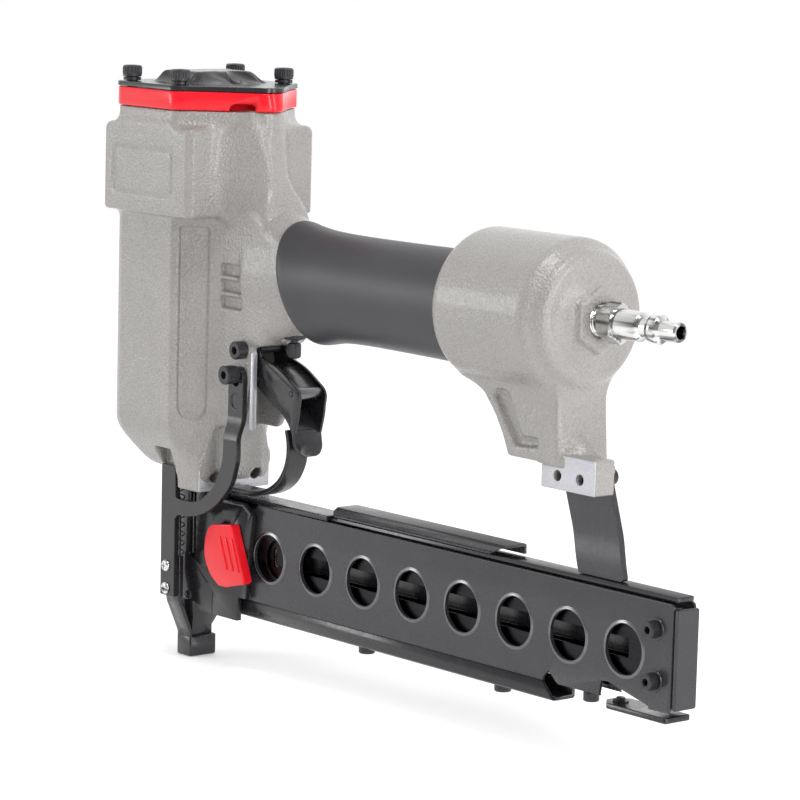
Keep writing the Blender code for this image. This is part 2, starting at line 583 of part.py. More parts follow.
foot = box("safety_foot", (-6.2, -7.4, 0), (4.6, 7.4, 9.4), 0.7, origin=(0, 0, 0))
stalk = loft("stalk", [
    [(x, y, z) for x, y in ((x0, y0), (x1, y0), (x1, y1), (x0, y1))]
    for z, x0, x1, y0, y1 in ((4.0, -5.8, 4.2, -7.3, -5.0), (10.5, -5.8, 4.2, -7.3, -6.2),
                              (27.5, -2.6, 7.2, -16.7, -14.2), (48.0, -2.6, 7.2, -16.7, -14.2))])
join(foot, stalk)
cut(foot, box("tip_room", (-4.25, -5.95, -2), (3.4, 5.95, 11.5)))
for z in (43.4, 33.0):
    cut(foot, tube("foot_hole", "Y", (FOOT_SCREW_X, 0, z), -24, -12, 2.0, steps=12))
paint(foot, M_BLACK)
foot_screws = []
for number, z in enumerate((43.4, 33.0), 1):
    screw = turned("safety_foot_screw_%d" % number, [
        (-13.0, 1.7), (-20.4, 1.7), (-20.4, 2.6), (-21.2, 2.2)], "Y", (FOOT_SCREW_X, 0, z), 16)
    cut(screw, box("cross", (FOOT_SCREW_X - 0.3, -23, z - 1.3), (FOOT_SCREW_X + 0.3, -20.7, z + 1.3)),
        box("cross2", (FOOT_SCREW_X - 1.3, -23, z - 0.3), (FOOT_SCREW_X + 1.3, -20.7, z + 0.3)))
    foot_screws.append(paint(screw, M_CHROME))
pins = []
for name, x, z in (("front", -0.4, 78.0), ("rear", 36.0, 88.0)):
    pin = tube("safety_pin_%s" % name, "Y", (x, 0, z), -16.8, -13.0, 2.4, steps=14)
    pins.append(paint(pin, M_SLATE))
safety_spring = coil("safety_spring", (4.5, -14.6), 1.9, 0.35, 48.4, 87.1, 9, 10, 5)
paint(safety_spring, M_STEEL)
safety_axis = anchor("safety_axis", (0, -18.6, 60))
carry(safety_axis, safety_plate, foot, *pins, *foot_screws)

# --- nose: driver guide with cheeks for the magazine ---------------------------------------------------
nose = prism("nose_housing", [
    (-3.6, 27.0), (10, 27.0), (14, 23.4), (41, 23.4), (41, 34.2), (46.5, 34.2), (50.5, 72.0),
    (44.0, 76.9), (29.4, 76.9), (29.4, 79.4), (8.3, 79.4), (8.3, 87.2), (-3.6, 87.2)],
    "Y", -9.5, 9.5, origin=(0, 0, 50))
tip = loft("nose_tip", [
    [(-3.6, -9.5, 30.0), (10, -9.5, 30.0), (10, 9.5, 30.0), (-3.6, 9.5, 30.0)],
    [(-3.6, -9.5, 26.8), (10, -9.5, 26.8), (10, 9.5, 26.8), (-3.6, 9.5, 26.8)],
    [(-3.9, -5.6, 13.6), (3.1, -5.6, 13.6), (3.1, 5.6, 13.6), (-3.9, 5.6, 13.6)],
    [(-3.9, -5.6, 3.3), (3.1, -5.6, 3.3), (3.1, 5.6, 3.3), (-3.9, 5.6, 3.3)]])
join(nose, tip)
cut(nose,
    box("magazine_room", (14.0, -6.9, 10), (70, 6.9, 77.0)),
    box("driver_slot", (-1.1, -5.3, 0), (1.1, 5.3, 95)),
    box("feed_mouth", (0, -5.3, 36), (20, 5.3, 75.5)),
    tube("rivet_hole", "Y", (6.2, 0, 29.8), -12, -7, 1.3, steps=12),
    tube("latch_hole", "Y", (31.5, 0, 62.0), -12, -6, 1.8, steps=12))
paint(nose, M_BLACK)
front_plate = prism("nose_front_plate", [(-9.5, 26.8), (-5.6, 14.0), (5.6, 14.0), (9.5, 26.8),
                                         (9.5, 87.2), (-9.5, 87.2)], "X", -7.0, -3.9)
cut(front_plate, box("driver_relief", (-4.6, -5.3, 10), (-3, 5.3, 90)))
paint(front_plate, M_BLACK)
rivet = turned("nose_rivet", [(-7.2, 1.0), (-9.8, 1.0), (-9.8, 2.2), (-10.9, 1.6)], "Y",
               (6.2, 0, 29.8), 14)
paint(rivet, M_SLATE)

# --- red latch ----------------------------------------------------------------------------------------
LATCH_X, LATCH_Z = 31.5, 62.0
latch = prism("magazine_latch", [
    (25.4, 63.9), (29.1, 65.9), (42.2, 67.6), (52.5, 43.5), (51.1, 41.9), (38.8, 38.8),
    (33.6, 38.8), (27.6, 42.8), (23.3, 49.4), (22.6, 57.0)], "Y", -14.6, -10.0,
    origin=(LATCH_X, 0, LATCH_Z))
for step in range(3):
    x = 33.2 + 4.4 * step
    rib = prism("rib", [(x, 61.5), (x + 1.4, 61.8), (x + 7.2, 47.0), (x + 5.8, 46.6)], "Y",
                -15.2, -14.2)
    join(latch, rib)
cut(latch, tube("latch_bore", "Y", (LATCH_X, 0, LATCH_Z), -12.6, -8, 1.8, steps=12))
paint(latch, M_RED)
latch_pin = tube("latch_pin", "Y", (LATCH_X, 0, LATCH_Z), -12.2, -7.2, 1.5, steps=12)
paint(latch_pin, M_STEEL)
latch_axis = anchor("latch_axis", (LATCH_X, 0, LATCH_Z))
carry(latch_axis, latch)

# --- magazine -------------------------------------------------------------------------------------------
COVER = [(MAG_X0, 68.2), (47.0, 34.0), (49.0, MAG_Z0), (238.5, MAG_Z0), (243.0, 38.0), (247.5, 34.0),
         (250.0, MAG_Z0), (272.6, MAG_Z0), (273.8, 39.6), (277.8, 39.9), (305.5, MAG_Z0),
         (310.5, MAG_Z0), (MAG_X1, 35.0), (MAG_X1, MAG_Z1), (52.0, MAG_Z1), (46.2, 74.4)]
near_cover = prism("magazine_near_cover", COVER, "Y", -MAG_Y, -MAG_Y + 1.1)
for number in range(8):
    cut(near_cover, tube("window", "Y", (HOLE_X + HOLE_PITCH * number, 0, HOLE_Z),
                         -MAG_Y - 2, -MAG_Y + 3, HOLE_R, steps=28))
far_cover = prism("magazine_far_cover", COVER, "Y", MAG_Y - 1.1, MAG_Y)
TAIL_X = 303.2
tail_block = box("magazine_tail_block", (297.5, -4.9, 37.5), (309.5, 4.9, 74.0), 0.0)
tail_plate = box("magazine_tail_plate", (MAG_X1 + GAP, -5.8, 34.6), (MAG_X1 + 2.5, 5.8, 74.8), 0.5)
tail_foot = box("magazine_tail_foot", (273.0, -7.0, 29.0), (311.5, 7.0, 31.4), 0.4)
tail_screws = []
for number, z in enumerate((65.6, 44.8), 1):
    for piece in (near_cover, far_cover, tail_block):
        cut(piece, tube("tail_hole", "Y", (TAIL_X, 0, z), -9, 9, 2.2, steps=14))
    screw = socket_screw("tail_screw_%d" % number, (TAIL_X, -MAG_Y - GAP, z), "Y", 3.5, 4.2, 1.9,
                         12.0, -1, 1.7, steps=16)
    tail_screws.append(paint(screw, M_SLATE))
magazine_axis = anchor("magazine_axis", (MAG_X0, 0, HOLE_Z))
carry(magazine_axis, near_cover, far_cover, tail_block, tail_plate, tail_foot, *tail_screws)
for piece in (near_cover, far_cover, tail_block, tail_plate, tail_foot):
    paint(piece, M_BLACK)

top_rail = box("magazine_top_rail", (30.0, -MAG_Y, 77.2), (99.0, MAG_Y, RAIL_TOP), 0.4)
join(top_rail, prism("rail_run", [(97.0, 77.2), (RAIL_END, 77.2), (RAIL_END, RAIL_TOP), (104.5, RAIL_TOP),
                                  (103.3, 78.4), (97.0, 78.4)], "Y", -RAIL_Y, RAIL_Y))
paint(top_rail, M_BLACK)
hood = prism("magazine_hood", [(104, 79.8), (107, 84.4), (211, 84.4), (214, 79.8)], "Y",
             -MAG_Y, MAG_Y)
cut(hood, box("hood_room", (100, -5.1, 70), (220, 5.1, 83.2)))
paint(hood, M_BLACK)
low_rail = box("magazine_low_rail", (37.0, -6.0, 25.6), (246.0, 6.0, 33.0), 0.5)
cut(low_rail, box("rail_room", (30, -4.6, 27.4), (250, 4.6, 40)))
paint(low_rail, M_BLACK)
core_rail = box("magazine_core_rail", (15.0, -3.4, 37.5), (295.0, 3.4, 73.5))
cut(core_rail, box("core_room", (10, -2.5, 30), (300, 2.5, 72.6)),
    box("core_slot", (59.0, -9, 50.5), (286, 9, 58.5)))
paint(core_rail, M_STEEL)

pusher = box("staple_pusher", (46.0, -4.8, 39.0), (74.0, 4.8, 75.8), 0.0)
cut(pusher, box("pusher_room", (40, -3.7, 30), (80, 3.7, 73.8)),
    tube("pusher_window", "Y", (64.0, 0, 54.4), -9, -3, 8.6, steps=24))
paint(pusher, M_STEEL)
roll = tube("pusher_roll_spring", "Y", (64.0, 0, 54.4), -2.2, 2.2, 7.6, 5.5, steps=24)
paint(roll, M_STEEL)
drum_pin = turned("pusher_spring_drum", [(-2.2, 5.2), (2.2, 5.2), (2.2, 2.0), (3.4, 2.0)], "Y",
                  (64.0, 0, 54.4), 20)
paint(drum_pin, M_SEAL)
pusher_axis = anchor("pusher_axis", (46.0, 0, 54.4))
carry(pusher_axis, pusher, roll, drum_pin)

# --- rear bracket between the leg and the magazine ------------------------------------------------------
strap = loft("rear_bracket", [
    [(254.3, -2.6, 79.8), (281.3, -2.6, 79.8), (281.3, 0.4, 79.8), (254.3, 0.4, 79.8)],
    [(247.6, -0.7, 99.5), (274.4, -0.7, 99.5), (274.4, 2.3, 99.5), (247.6, 2.3, 99.5)],
    [(241.6, -0.7, 117.0), (268.8, -0.7, 117.0), (268.8, 2.3, 117.0), (241.6, 2.3, 117.0)],
    [(243.0, -0.7, 122.8), (266.8, -0.7, 122.8), (266.8, 2.3, 122.8), (243.0, 2.3, 122.8)]])
strap_screws = []
for number, x in enumerate((250.6, 263.6), 1):
    cut(strap, tube("strap_bore", "Y", (x, 0, 119.4), -4, 5, 2.3, steps=14))
    screw = socket_screw("bracket_screw_%d" % number, (x, 2.3 + GAP, 119.4), "Y", 3.3, 3.8, 1.95,
                         11.5, 1, 1.6, steps=16)
    paint(screw, M_SLATE)
paint(strap, M_BLACK)
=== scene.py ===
"""Looks of the pneumatic flooring nailer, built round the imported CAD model."""

import json
import math

import bmesh
import bpy
import numpy as np
from mathutils import Matrix, Vector


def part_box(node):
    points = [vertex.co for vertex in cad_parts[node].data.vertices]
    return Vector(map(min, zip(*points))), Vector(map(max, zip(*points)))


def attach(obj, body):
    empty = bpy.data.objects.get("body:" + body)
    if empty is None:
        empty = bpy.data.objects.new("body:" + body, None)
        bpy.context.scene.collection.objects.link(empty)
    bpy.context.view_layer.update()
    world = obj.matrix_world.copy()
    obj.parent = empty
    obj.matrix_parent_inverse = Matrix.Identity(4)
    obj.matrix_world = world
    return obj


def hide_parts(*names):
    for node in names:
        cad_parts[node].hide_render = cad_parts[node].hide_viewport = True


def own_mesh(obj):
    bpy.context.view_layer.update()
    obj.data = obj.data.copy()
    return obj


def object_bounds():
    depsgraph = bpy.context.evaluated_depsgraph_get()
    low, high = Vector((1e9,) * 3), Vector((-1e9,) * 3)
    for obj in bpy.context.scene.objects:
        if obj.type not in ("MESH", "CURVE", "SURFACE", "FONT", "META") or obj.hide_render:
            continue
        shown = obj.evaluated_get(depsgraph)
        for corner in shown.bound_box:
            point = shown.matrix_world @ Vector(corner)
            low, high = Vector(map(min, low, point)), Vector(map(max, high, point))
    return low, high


MM = 0.001
GAP = 0.3  # between a screw head and the face under it, in millimetres
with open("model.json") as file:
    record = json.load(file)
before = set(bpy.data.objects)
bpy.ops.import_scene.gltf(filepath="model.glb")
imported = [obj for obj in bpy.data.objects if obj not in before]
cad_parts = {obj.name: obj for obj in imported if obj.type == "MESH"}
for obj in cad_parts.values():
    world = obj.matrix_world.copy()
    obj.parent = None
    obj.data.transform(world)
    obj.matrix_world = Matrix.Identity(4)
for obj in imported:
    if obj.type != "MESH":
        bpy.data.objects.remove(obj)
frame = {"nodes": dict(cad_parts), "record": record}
cad_low, cad_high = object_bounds()

# --- places taken from the frame, in millimetres from the driver's axis ------------------------
PISTON_LOW, PISTON_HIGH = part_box("piston")
AXIS = Vector(((PISTON_LOW.x + PISTON_HIGH.x) / 2, 0, 0))


def node_box(name):
    """Lowest and highest corner of a CAD node in millimetres from the driver's axis."""
    low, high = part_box(name)
    return (low - AXIS) / MM, (high - AXIS) / MM


RING_LOW, RING_HIGH = node_box("exhaust_ring")
BODY_LOW, BODY_HIGH = node_box("body_casting")
GRIP_LOW, GRIP_HIGH = node_box("rubber_grip")
PLUG_LOW, PLUG_HIGH = node_box("air_plug")
COVER_LOW, COVER_HIGH = node_box("magazine_near_cover")
SLOT_OF = {part["node"]: part["material_slot"] for part in frame["record"]["subparts"]}


# --- materials -----------------------------------------------------------------------------------
class Shader:
    """A Principled material and short calls for the nodes that feed it."""

    def __init__(self, name, colour, rough, metal=0.0, coat=0.0, coat_rough=0.1, specular=0.5):
        self.mat = bpy.data.materials.new(name)
        self.mat.use_nodes = True
        self.tree = self.mat.node_tree
        self.shader = self.tree.nodes["Principled BSDF"]
        self.colour = colour
        for socket, value in (("Roughness", rough), ("Metallic", metal), ("Coat Weight", coat),
                              ("Coat Roughness", coat_rough), ("Specular IOR Level", specular),
                              ("Base Color", (*colour, 1))):
            self.shader.inputs[socket].default_value = value
        place = self.tree.nodes.new("ShaderNodeTexCoord")
        self.place = place.outputs["Object"]
        self.height = None

    def node(self, kind, **values):
        made = self.tree.nodes.new(kind)
        for key, value in values.items():
            if key in made.inputs:
                made.inputs[key].default_value = value
            else:
                setattr(made, key, value)
        return made

    def link(self, a, b):
        self.tree.links.new(a, b)

    def stretched(self, scale):
        """Object coordinates with another scale along each axis, for grain with a direction."""
        mapping = self.node("ShaderNodeMapping", Scale=scale)
        self.link(self.place, mapping.inputs["Vector"])
        return mapping.outputs["Vector"]

    def noise(self, scale, detail=2.0, rough=0.5, source=None):
        made = self.node("ShaderNodeTexNoise", Scale=scale, Detail=detail, Roughness=rough)
        self.link(source or self.place, made.inputs["Vector"])
        return made.outputs["Fac"]

    def cells(self, scale, smooth=0.6):
        made = self.node("ShaderNodeTexVoronoi", Scale=scale, feature="SMOOTH_F1")
        made.inputs["Smoothness"].default_value = smooth
        self.link(self.place, made.inputs["Vector"])
        return made.outputs["Distance"]

    def remap(self, value, low, high, to_low, to_high):
        made = self.node("ShaderNodeMapRange", **{"From Min": low, "From Max": high, "To Min": to_low,
                                                  "To Max": to_high})
        self.link(value, made.inputs["Value"])
        return made.outputs["Result"]

    def tint(self, value, low, high, other):
        """Mix the base colour with another one by a value between low and high."""
        factor = self.remap(value, low, high, 0.0, 1.0)
        mix = self.node("ShaderNodeMix", data_type="RGBA")
        source = self.shader.inputs["Base Color"]
        if source.is_linked:
            self.link(source.links[0].from_socket, mix.inputs[6])
        else:
            mix.inputs[6].default_value = (*self.colour, 1)
        mix.inputs[7].default_value = (*other, 1)
        self.link(factor, mix.inputs[0])
        self.link(mix.outputs[2], source)

    def rough(self, value, low, high, to_low, to_high):
        self.link(self.remap(value, low, high, to_low, to_high), self.shader.inputs["Roughness"])

    def bump(self, value, strength, depth):
        made = self.node("ShaderNodeBump", Strength=strength, Distance=depth * MM)
        self.link(value, made.inputs["Height"])
        if self.height is not None:
            self.link(self.height, made.inputs["Normal"])
        self.height = made.outputs["Normal"]
        self.link(self.height, self.shader.inputs["Normal"])


def hammered_paint():
    """Warm grey stoved paint with the fine dimples of a hammered finish."""
    s = Shader("hammered_paint", (0.285, 0.273, 0.261), 0.30, 0.0, 0.30, 0.16)
    dimples = s.cells(950, 0.5)
    grain = s.noise(1500, 2.0, 0.6)
    broad = s.noise(45, 3.0, 0.55)
    s.tint(dimples, 0.25, 0.75, (0.248, 0.237, 0.227))
    s.tint(broad, 0.50, 0.80, (0.290, 0.278, 0.265))
    s.rough(grain, 0.3, 0.7, 0.22, 0.36)
    s.bump(dimples, 0.95, 0.36)
    s.bump(grain, 0.25, 0.10)
    return s.mat


def milled_alloy():
    """Bare machined face with fine parallel tool marks."""
    s = Shader("milled_alloy", (0.48, 0.48, 0.51), 0.32, 0.45, specular=0.6)
    lines = s.noise(260, 3.0, 0.6, s.stretched((1.0, 1.0, 9.0)))
    s.tint(lines, 0.35, 0.7, (0.39, 0.39, 0.42))
    s.rough(lines, 0.3, 0.7, 0.24, 0.42)
    s.bump(lines, 0.25, 0.05)
    return s.mat


def coated_steel(name, colour, rough, specular):
    """Black coated steel with a faint orange peel."""
    s = Shader(name, colour, rough, 0.0, specular=specular)
    peel = s.noise(420, 3.0, 0.5)
    broad = s.noise(60, 3.0, 0.5)
    s.tint(broad, 0.4, 0.8, tuple(c * 1.25 for c in colour))
    s.rough(peel, 0.3, 0.7, rough - 0.05, rough + 0.07)
    s.bump(peel, 0.06, 0.04)
    return s.mat


def black_oxide():
    """Oiled black oxide of the screws."""
    s = Shader("black_oxide", (0.022, 0.022, 0.026), 0.36, 0.2, specular=0.45)
    grain = s.noise(900, 3.0, 0.6)
    s.tint(grain, 0.4, 0.8, (0.036, 0.036, 0.041))
    s.rough(grain, 0.3, 0.7, 0.26, 0.42)
    s.bump(grain, 0.2, 0.04)
    return s.mat


def red_gloss():
    """Glossy red moulding with a slightly wavy surface."""
    s = Shader("red_gloss", (0.78, 0.010, 0.020), 0.14, 0.0, 0.16, 0.05, specular=0.26)
    wave = s.noise(70, 2.0, 0.5)
    fine = s.noise(700, 2.0, 0.5)
    s.tint(wave, 0.35, 0.8, (0.74, 0.009, 0.018))
    s.rough(fine, 0.3, 0.7, 0.12, 0.22)
    s.bump(wave, 0.06, 0.3)
    s.bump(fine, 0.05, 0.03)
    return s.mat


def soft_rubber():
    """Dark grey soft-touch rubber with a matt grain."""
    s = Shader("soft_rubber", (0.029, 0.029, 0.034), 0.42, 0.0, specular=0.42)
    grain = s.noise(1500, 2.0, 0.6)
    broad = s.noise(30, 3.0, 0.5)
    s.tint(broad, 0.4, 0.8, (0.036, 0.036, 0.042))
    s.rough(grain, 0.3, 0.7, 0.38, 0.48)
    s.bump(grain, 0.16, 0.04)
    return s.mat


def bright_plating():
    """Polished nickel plating with turning marks across the axis and painted dark reflection streaks along
    it.
    """
    s = Shader("bright_plating", (0.66, 0.66, 0.65), 0.09, 1.0)
    turning = s.noise(900, 2.0, 0.5, s.stretched((1.0, 0.05, 0.05)))
    painted_reflection_streaks = s.noise(420, 1.0, 0.4, s.stretched((0.08, 1.0, 1.0)))
    # painted reflection: dark streaks along the axis stand in for dark surroundings mirrored in the plating
    s.tint(painted_reflection_streaks, 0.50, 0.66, (0.16, 0.16, 0.17))
    s.rough(turning, 0.35, 0.65, 0.05, 0.16)
    s.bump(turning, 0.10, 0.03)
    return s.mat


def plain_steel(name="plain_steel", colour=(0.50, 0.50, 0.51), rough=0.30):
    """Brushed bare steel."""
    s = Shader(name, colour, rough, 1.0)
    brushed = s.noise(300, 3.0, 0.6, s.stretched((0.1, 1.0, 1.0)))
    s.tint(brushed, 0.35, 0.75, tuple(c * 0.8 for c in colour))
    s.rough(brushed, 0.3, 0.7, rough - 0.06, rough + 0.1)
    s.bump(brushed, 0.12, 0.03)
    return s.mat


def seal_rubber():
    """Matt black sealing rubber."""
    s = Shader("seal_rubber", (0.010, 0.010, 0.010), 0.6, specular=0.3)
    grain = s.noise(1200, 2.0, 0.5)
    s.rough(grain, 0.3, 0.7, 0.5, 0.7)
    s.bump(grain, 0.2, 0.04)
    return s.mat


PAINT = hammered_paint()
MILLED = milled_alloy()
BLACK = coated_steel("satin_black", (0.014, 0.0135, 0.016), 0.22, 0.50)
COVER = coated_steel("charcoal_coat", (0.021, 0.020, 0.024), 0.27, 0.50)
OXIDE = black_oxide()
RED = red_gloss()
RUBBER = soft_rubber()
PLATING = bright_plating()
STEEL = plain_steel()
DARK_STEEL = plain_steel("dark_steel", (0.022, 0.022, 0.024), 0.24)
# painted highlight: steel much lighter than the black parts, standing in for bright edge highlights on the
# lever's curled end and the window rims
PAINTED_HIGHLIGHT_STEEL = plain_steel("painted_highlight_steel", (0.16, 0.16, 0.17), 0.22)
ALLOY = plain_steel("turned_alloy", (0.70, 0.71, 0.72), 0.34)
SEAL = seal_rubber()


# --- mesh helpers: everything is drawn in millimetres from the driver's axis ----------------------
def to_object(name, bm, mat, smooth=35.0):
    bmesh.ops.remove_doubles(bm, verts=bm.verts, dist=0.0004)
    bmesh.ops.recalc_face_normals(bm, faces=bm.faces)
    bm.transform(Matrix.Translation(AXIS) @ Matrix.Scale(MM, 4))
    mesh = bpy.data.meshes.new(name)
    bm.to_mesh(mesh)
    bm.free()
    obj = bpy.data.objects.new(name, mesh)
    bpy.context.scene.collection.objects.link(obj)
    mesh.materials.append(mat)
    mesh.shade_smooth()
    if smooth < 180:
        mesh.set_sharp_from_angle(angle=math.radians(smooth))
    return obj


def applied(obj, smooth=35.0):
    """Apply the modifiers and drop them, keeping the materials."""
    graph = bpy.context.evaluated_depsgraph_get()
    graph.update()
    mesh = bpy.data.meshes.new_from_object(obj.evaluated_get(graph))
    obj.modifiers.clear()
    obj.data = mesh
    mesh.shade_smooth()
    mesh.set_sharp_from_angle(angle=math.radians(smooth))
    return obj


def bevelled(obj, width, segments=2, angle=30.0):
    """Round the edges by a width in millimetres."""
    mod = obj.modifiers.new("Bevel", "BEVEL")
    mod.width = width * MM
    mod.segments = segments
    mod.limit_method = "ANGLE"
    mod.angle_limit = math.radians(angle)
    mod.harden_normals = True
    return obj


def rounded(points, radius, steps=4):
    """Replace each corner of a 2-D outline by an arc; a point may carry its own radius."""
    count = len(points)
    out = []
    for i, spot in enumerate(points):
        here = Vector(spot[:2])
        size = spot[2] if len(spot) > 2 else radius
        before = (Vector(points[i - 1][:2]) - here)
        after = (Vector(points[(i + 1) % count][:2]) - here)
        reach = min(before.length, after.length) * 0.48
        before.normalize()
        after.normalize()
        half = before.angle(after) / 2
        if size <= 0 or half > math.radians(87):
            out.append(tuple(here))
            continue
        back = min(size / math.tan(half), reach)
        size = back * math.tan(half)
        centre = here + (before + after).normalized() * (size / math.sin(half))
        start = here + before * back - centre
        end = here + after * back - centre
        turn = start.angle_signed(end)
        for k in range(steps + 1):
            a = -turn * k / steps
            out.append((centre.x + start.x * math.cos(a) - start.y * math.sin(a),
                        centre.y + start.x * math.sin(a) + start.y * math.cos(a)))
    return out


def place(axis, u, v, w):
    return {"X": (w, u, v), "Y": (u, w, v), "Z": (u, v, w)}[axis]


def rect(u0, v0, u1, v1):
    return [(u0, v0), (u1, v0), (u1, v1), (u0, v1)]


def quads(bm, rings):
    """Join each ring of vertices to the next one."""
    for a, b in zip(rings, rings[1:]):
        for i in range(len(a)):
            j = (i + 1) % len(a)
            bm.faces.new((a[i], a[j], b[j], b[i]))


def loft(name, sections, mat, smooth=35.0, closed=True):
    """Skin over rings of points, with a face on the first and the last one."""
    bm = bmesh.new()
    rings = [[bm.verts.new(p) for p in ring] for ring in sections]
    if closed:
        bm.faces.new(rings[0])
        bm.faces.new(rings[-1])
    quads(bm, rings)
    return to_object(name, bm, mat, smooth)


def slab(name, outline, axis, start, end, mat, bevel=0.0, segments=2, smooth=35.0):
    """Extrude a closed outline along an axis and round its rim."""
    obj = loft(name, [[place(axis, u, v, w) for u, v in outline] for w in (start, end)], mat, smooth)
    return bevelled(obj, bevel, segments) if bevel else obj


def turned(name, profile, axis, centre, mat, steps=64, smooth=35.0, wobble=None):
    """Turn (position, radius) pairs round an axis; `wobble` may change a radius by angle."""
    frames = {"X": (Vector((1, 0, 0)), Vector((0, 1, 0)), Vector((0, 0, 1))),
              "Y": (Vector((0, 1, 0)), Vector((0, 0, 1)), Vector((1, 0, 0))),
              "Z": (Vector((0, 0, 1)), Vector((1, 0, 0)), Vector((0, 1, 0)))}
    along, side_a, side_b = frames[axis]
    bm = bmesh.new()
    rings = []
    for index, (position, radius) in enumerate(profile):
        ring = []
        for i in range(steps):
            turn = 2 * math.pi * i / steps
            r = radius + (wobble(index, i) if wobble else 0.0)
            ring.append(bm.verts.new(Vector(centre) + along * position
                                     + (side_a * math.cos(turn) + side_b * math.sin(turn)) * r))
        rings.append(ring)
    quads(bm, rings)
    if profile[0] != profile[-1]:
        bm.faces.new(rings[0])
        bm.faces.new(rings[-1])
    return to_object(name, bm, mat, smooth)


def combined(target, tool, how, smooth=35.0):
    """Apply an exact Boolean of the tool to the target and remove the tool."""
    mod = target.modifiers.new(how.title(), "BOOLEAN")
    mod.operation = how
    mod.solver = "EXACT"
    mod.object = tool
    applied(target, smooth)
    bpy.data.objects.remove(tool, do_unlink=True)
    return target


def cut(target, *tools):
    """Boolean the tools out of the target and remove them."""
    for tool in tools:
        combined(target, tool, "DIFFERENCE")
    return target


def drilled(target, axis, reach, radius, spots, mat, steps=24):
    """Cut a round hole along an axis through the target at each spot."""
    for spot in spots:
        cut(target, turned("hole", [(reach[0], radius), (reach[1], radius)], axis, spot, mat, steps))
    return target


def joined(name, *parts):
    """Put several meshes into one piece."""
    bm = bmesh.new()
    materials = []
    for part in parts:
        applied(part)
        first = len(bm.faces)
        bm.from_mesh(part.data)
        bm.faces.ensure_lookup_table()
        slot_of = []
        for mat in part.data.materials:
            if mat not in materials:
                materials.append(mat)
            slot_of.append(materials.index(mat))
        for face in bm.faces[first:]:
            face.material_index = slot_of[face.material_index] if slot_of else 0
        bpy.data.objects.remove(part, do_unlink=True)
    mesh = bpy.data.meshes.new(name)
    bm.to_mesh(mesh)
    bm.free()
    for mat in materials:
        mesh.materials.append(mat)
    obj = bpy.data.objects.new(name, mesh)
    bpy.context.scene.collection.objects.link(obj)
    return obj


def settle(piece, body, slot, *nodes):
    """Ride on a body and stand for CAD nodes; the slot argument is not used."""
    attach(piece, body)
    if nodes:
        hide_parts(*nodes)
    return piece


# --- casting: a solid field blended from simple shapes, skinned by surface nets ---------------------
PITCH = 0.9


class Field:
    """Signed distances in millimetres on a grid; negative inside."""

    def __init__(self, low, high, pitch):
        axes = [np.arange(a, b + pitch, pitch, dtype=np.float32) for a, b in zip(low, high)]
        self.low = np.array(low, np.float32)
        self.pitch = pitch
        self.x, self.y, self.z = np.meshgrid(*axes, indexing="ij", sparse=True)
        self.side = np.abs(self.y)

    def box(self, low, high, soft=0.0):
        centre = [(a + b) / 2 for a, b in zip(low, high)]
        half = [(b - a) / 2 - soft for a, b in zip(low, high)]
        d = [np.abs(c - m) - h for c, m, h in zip((self.x, self.y, self.z), centre, half)]
        outside = np.sqrt(sum(np.maximum(q, 0) ** 2 for q in d))
        return outside + np.minimum(np.maximum(np.maximum(d[0], d[1]), d[2]), 0) - soft

    def outline(self, u, v, points):
        """Exact distance to a polygon given in two of the grid's axes."""
        u, v = np.broadcast_arrays(u, v)
        best = np.full(u.shape, 1e9, np.float32)
        inside = np.zeros(u.shape, bool)
        for (ax, ay), (bx, by) in zip(points, points[1:] + points[:1]):
            ex, ey = bx - ax, by - ay
            wx, wy = u - ax, v - ay
            t = np.clip((wx * ex + wy * ey) / (ex * ex + ey * ey), 0, 1)
            best = np.minimum(best, (wx - ex * t) ** 2 + (wy - ey * t) ** 2)
            crosses = (v >= min(ay, by)) & (v < max(ay, by))
            if ey:
                inside ^= crosses & (u < ax + (v - ay) * ex / ey)
        return np.where(inside, -np.sqrt(best), np.sqrt(best))

    def cylinder_x(self, centre_z, radius, start, end, soft=1.0, tall=1.0):
        r = np.sqrt(self.y ** 2 + ((self.z - centre_z) / tall) ** 2) - radius + soft
        w = np.abs(self.x - (start + end) / 2) - (end - start) / 2 + soft
        return (np.minimum(np.maximum(r, w), 0)
                + np.sqrt(np.maximum(r, 0) ** 2 + np.maximum(w, 0) ** 2) - soft)

    def cylinder_z(self, centre_x, radius, start, end, centre_y=0.0):
        r = np.sqrt((self.x - centre_x) ** 2 + (self.y - centre_y) ** 2) - radius
        return np.maximum(r, np.abs(self.z - (start + end) / 2) - (end - start) / 2)

    def cylinder_y(self, centre_x, centre_z, radius, start, end):
        r = np.sqrt((self.x - centre_x) ** 2 + (self.z - centre_z) ** 2) - radius
        return np.maximum(r, np.abs(self.y - (start + end) / 2) - (end - start) / 2)


def blend_union(a, b, k):
    h = np.maximum(k - np.abs(a - b), 0) / k
    return np.minimum(a, b) - h * h * k / 4


def blend_common(a, b, k):
    return -blend_union(-a, -b, k)


def blend_cut(a, b, k):
    return -blend_union(-a, b, k)


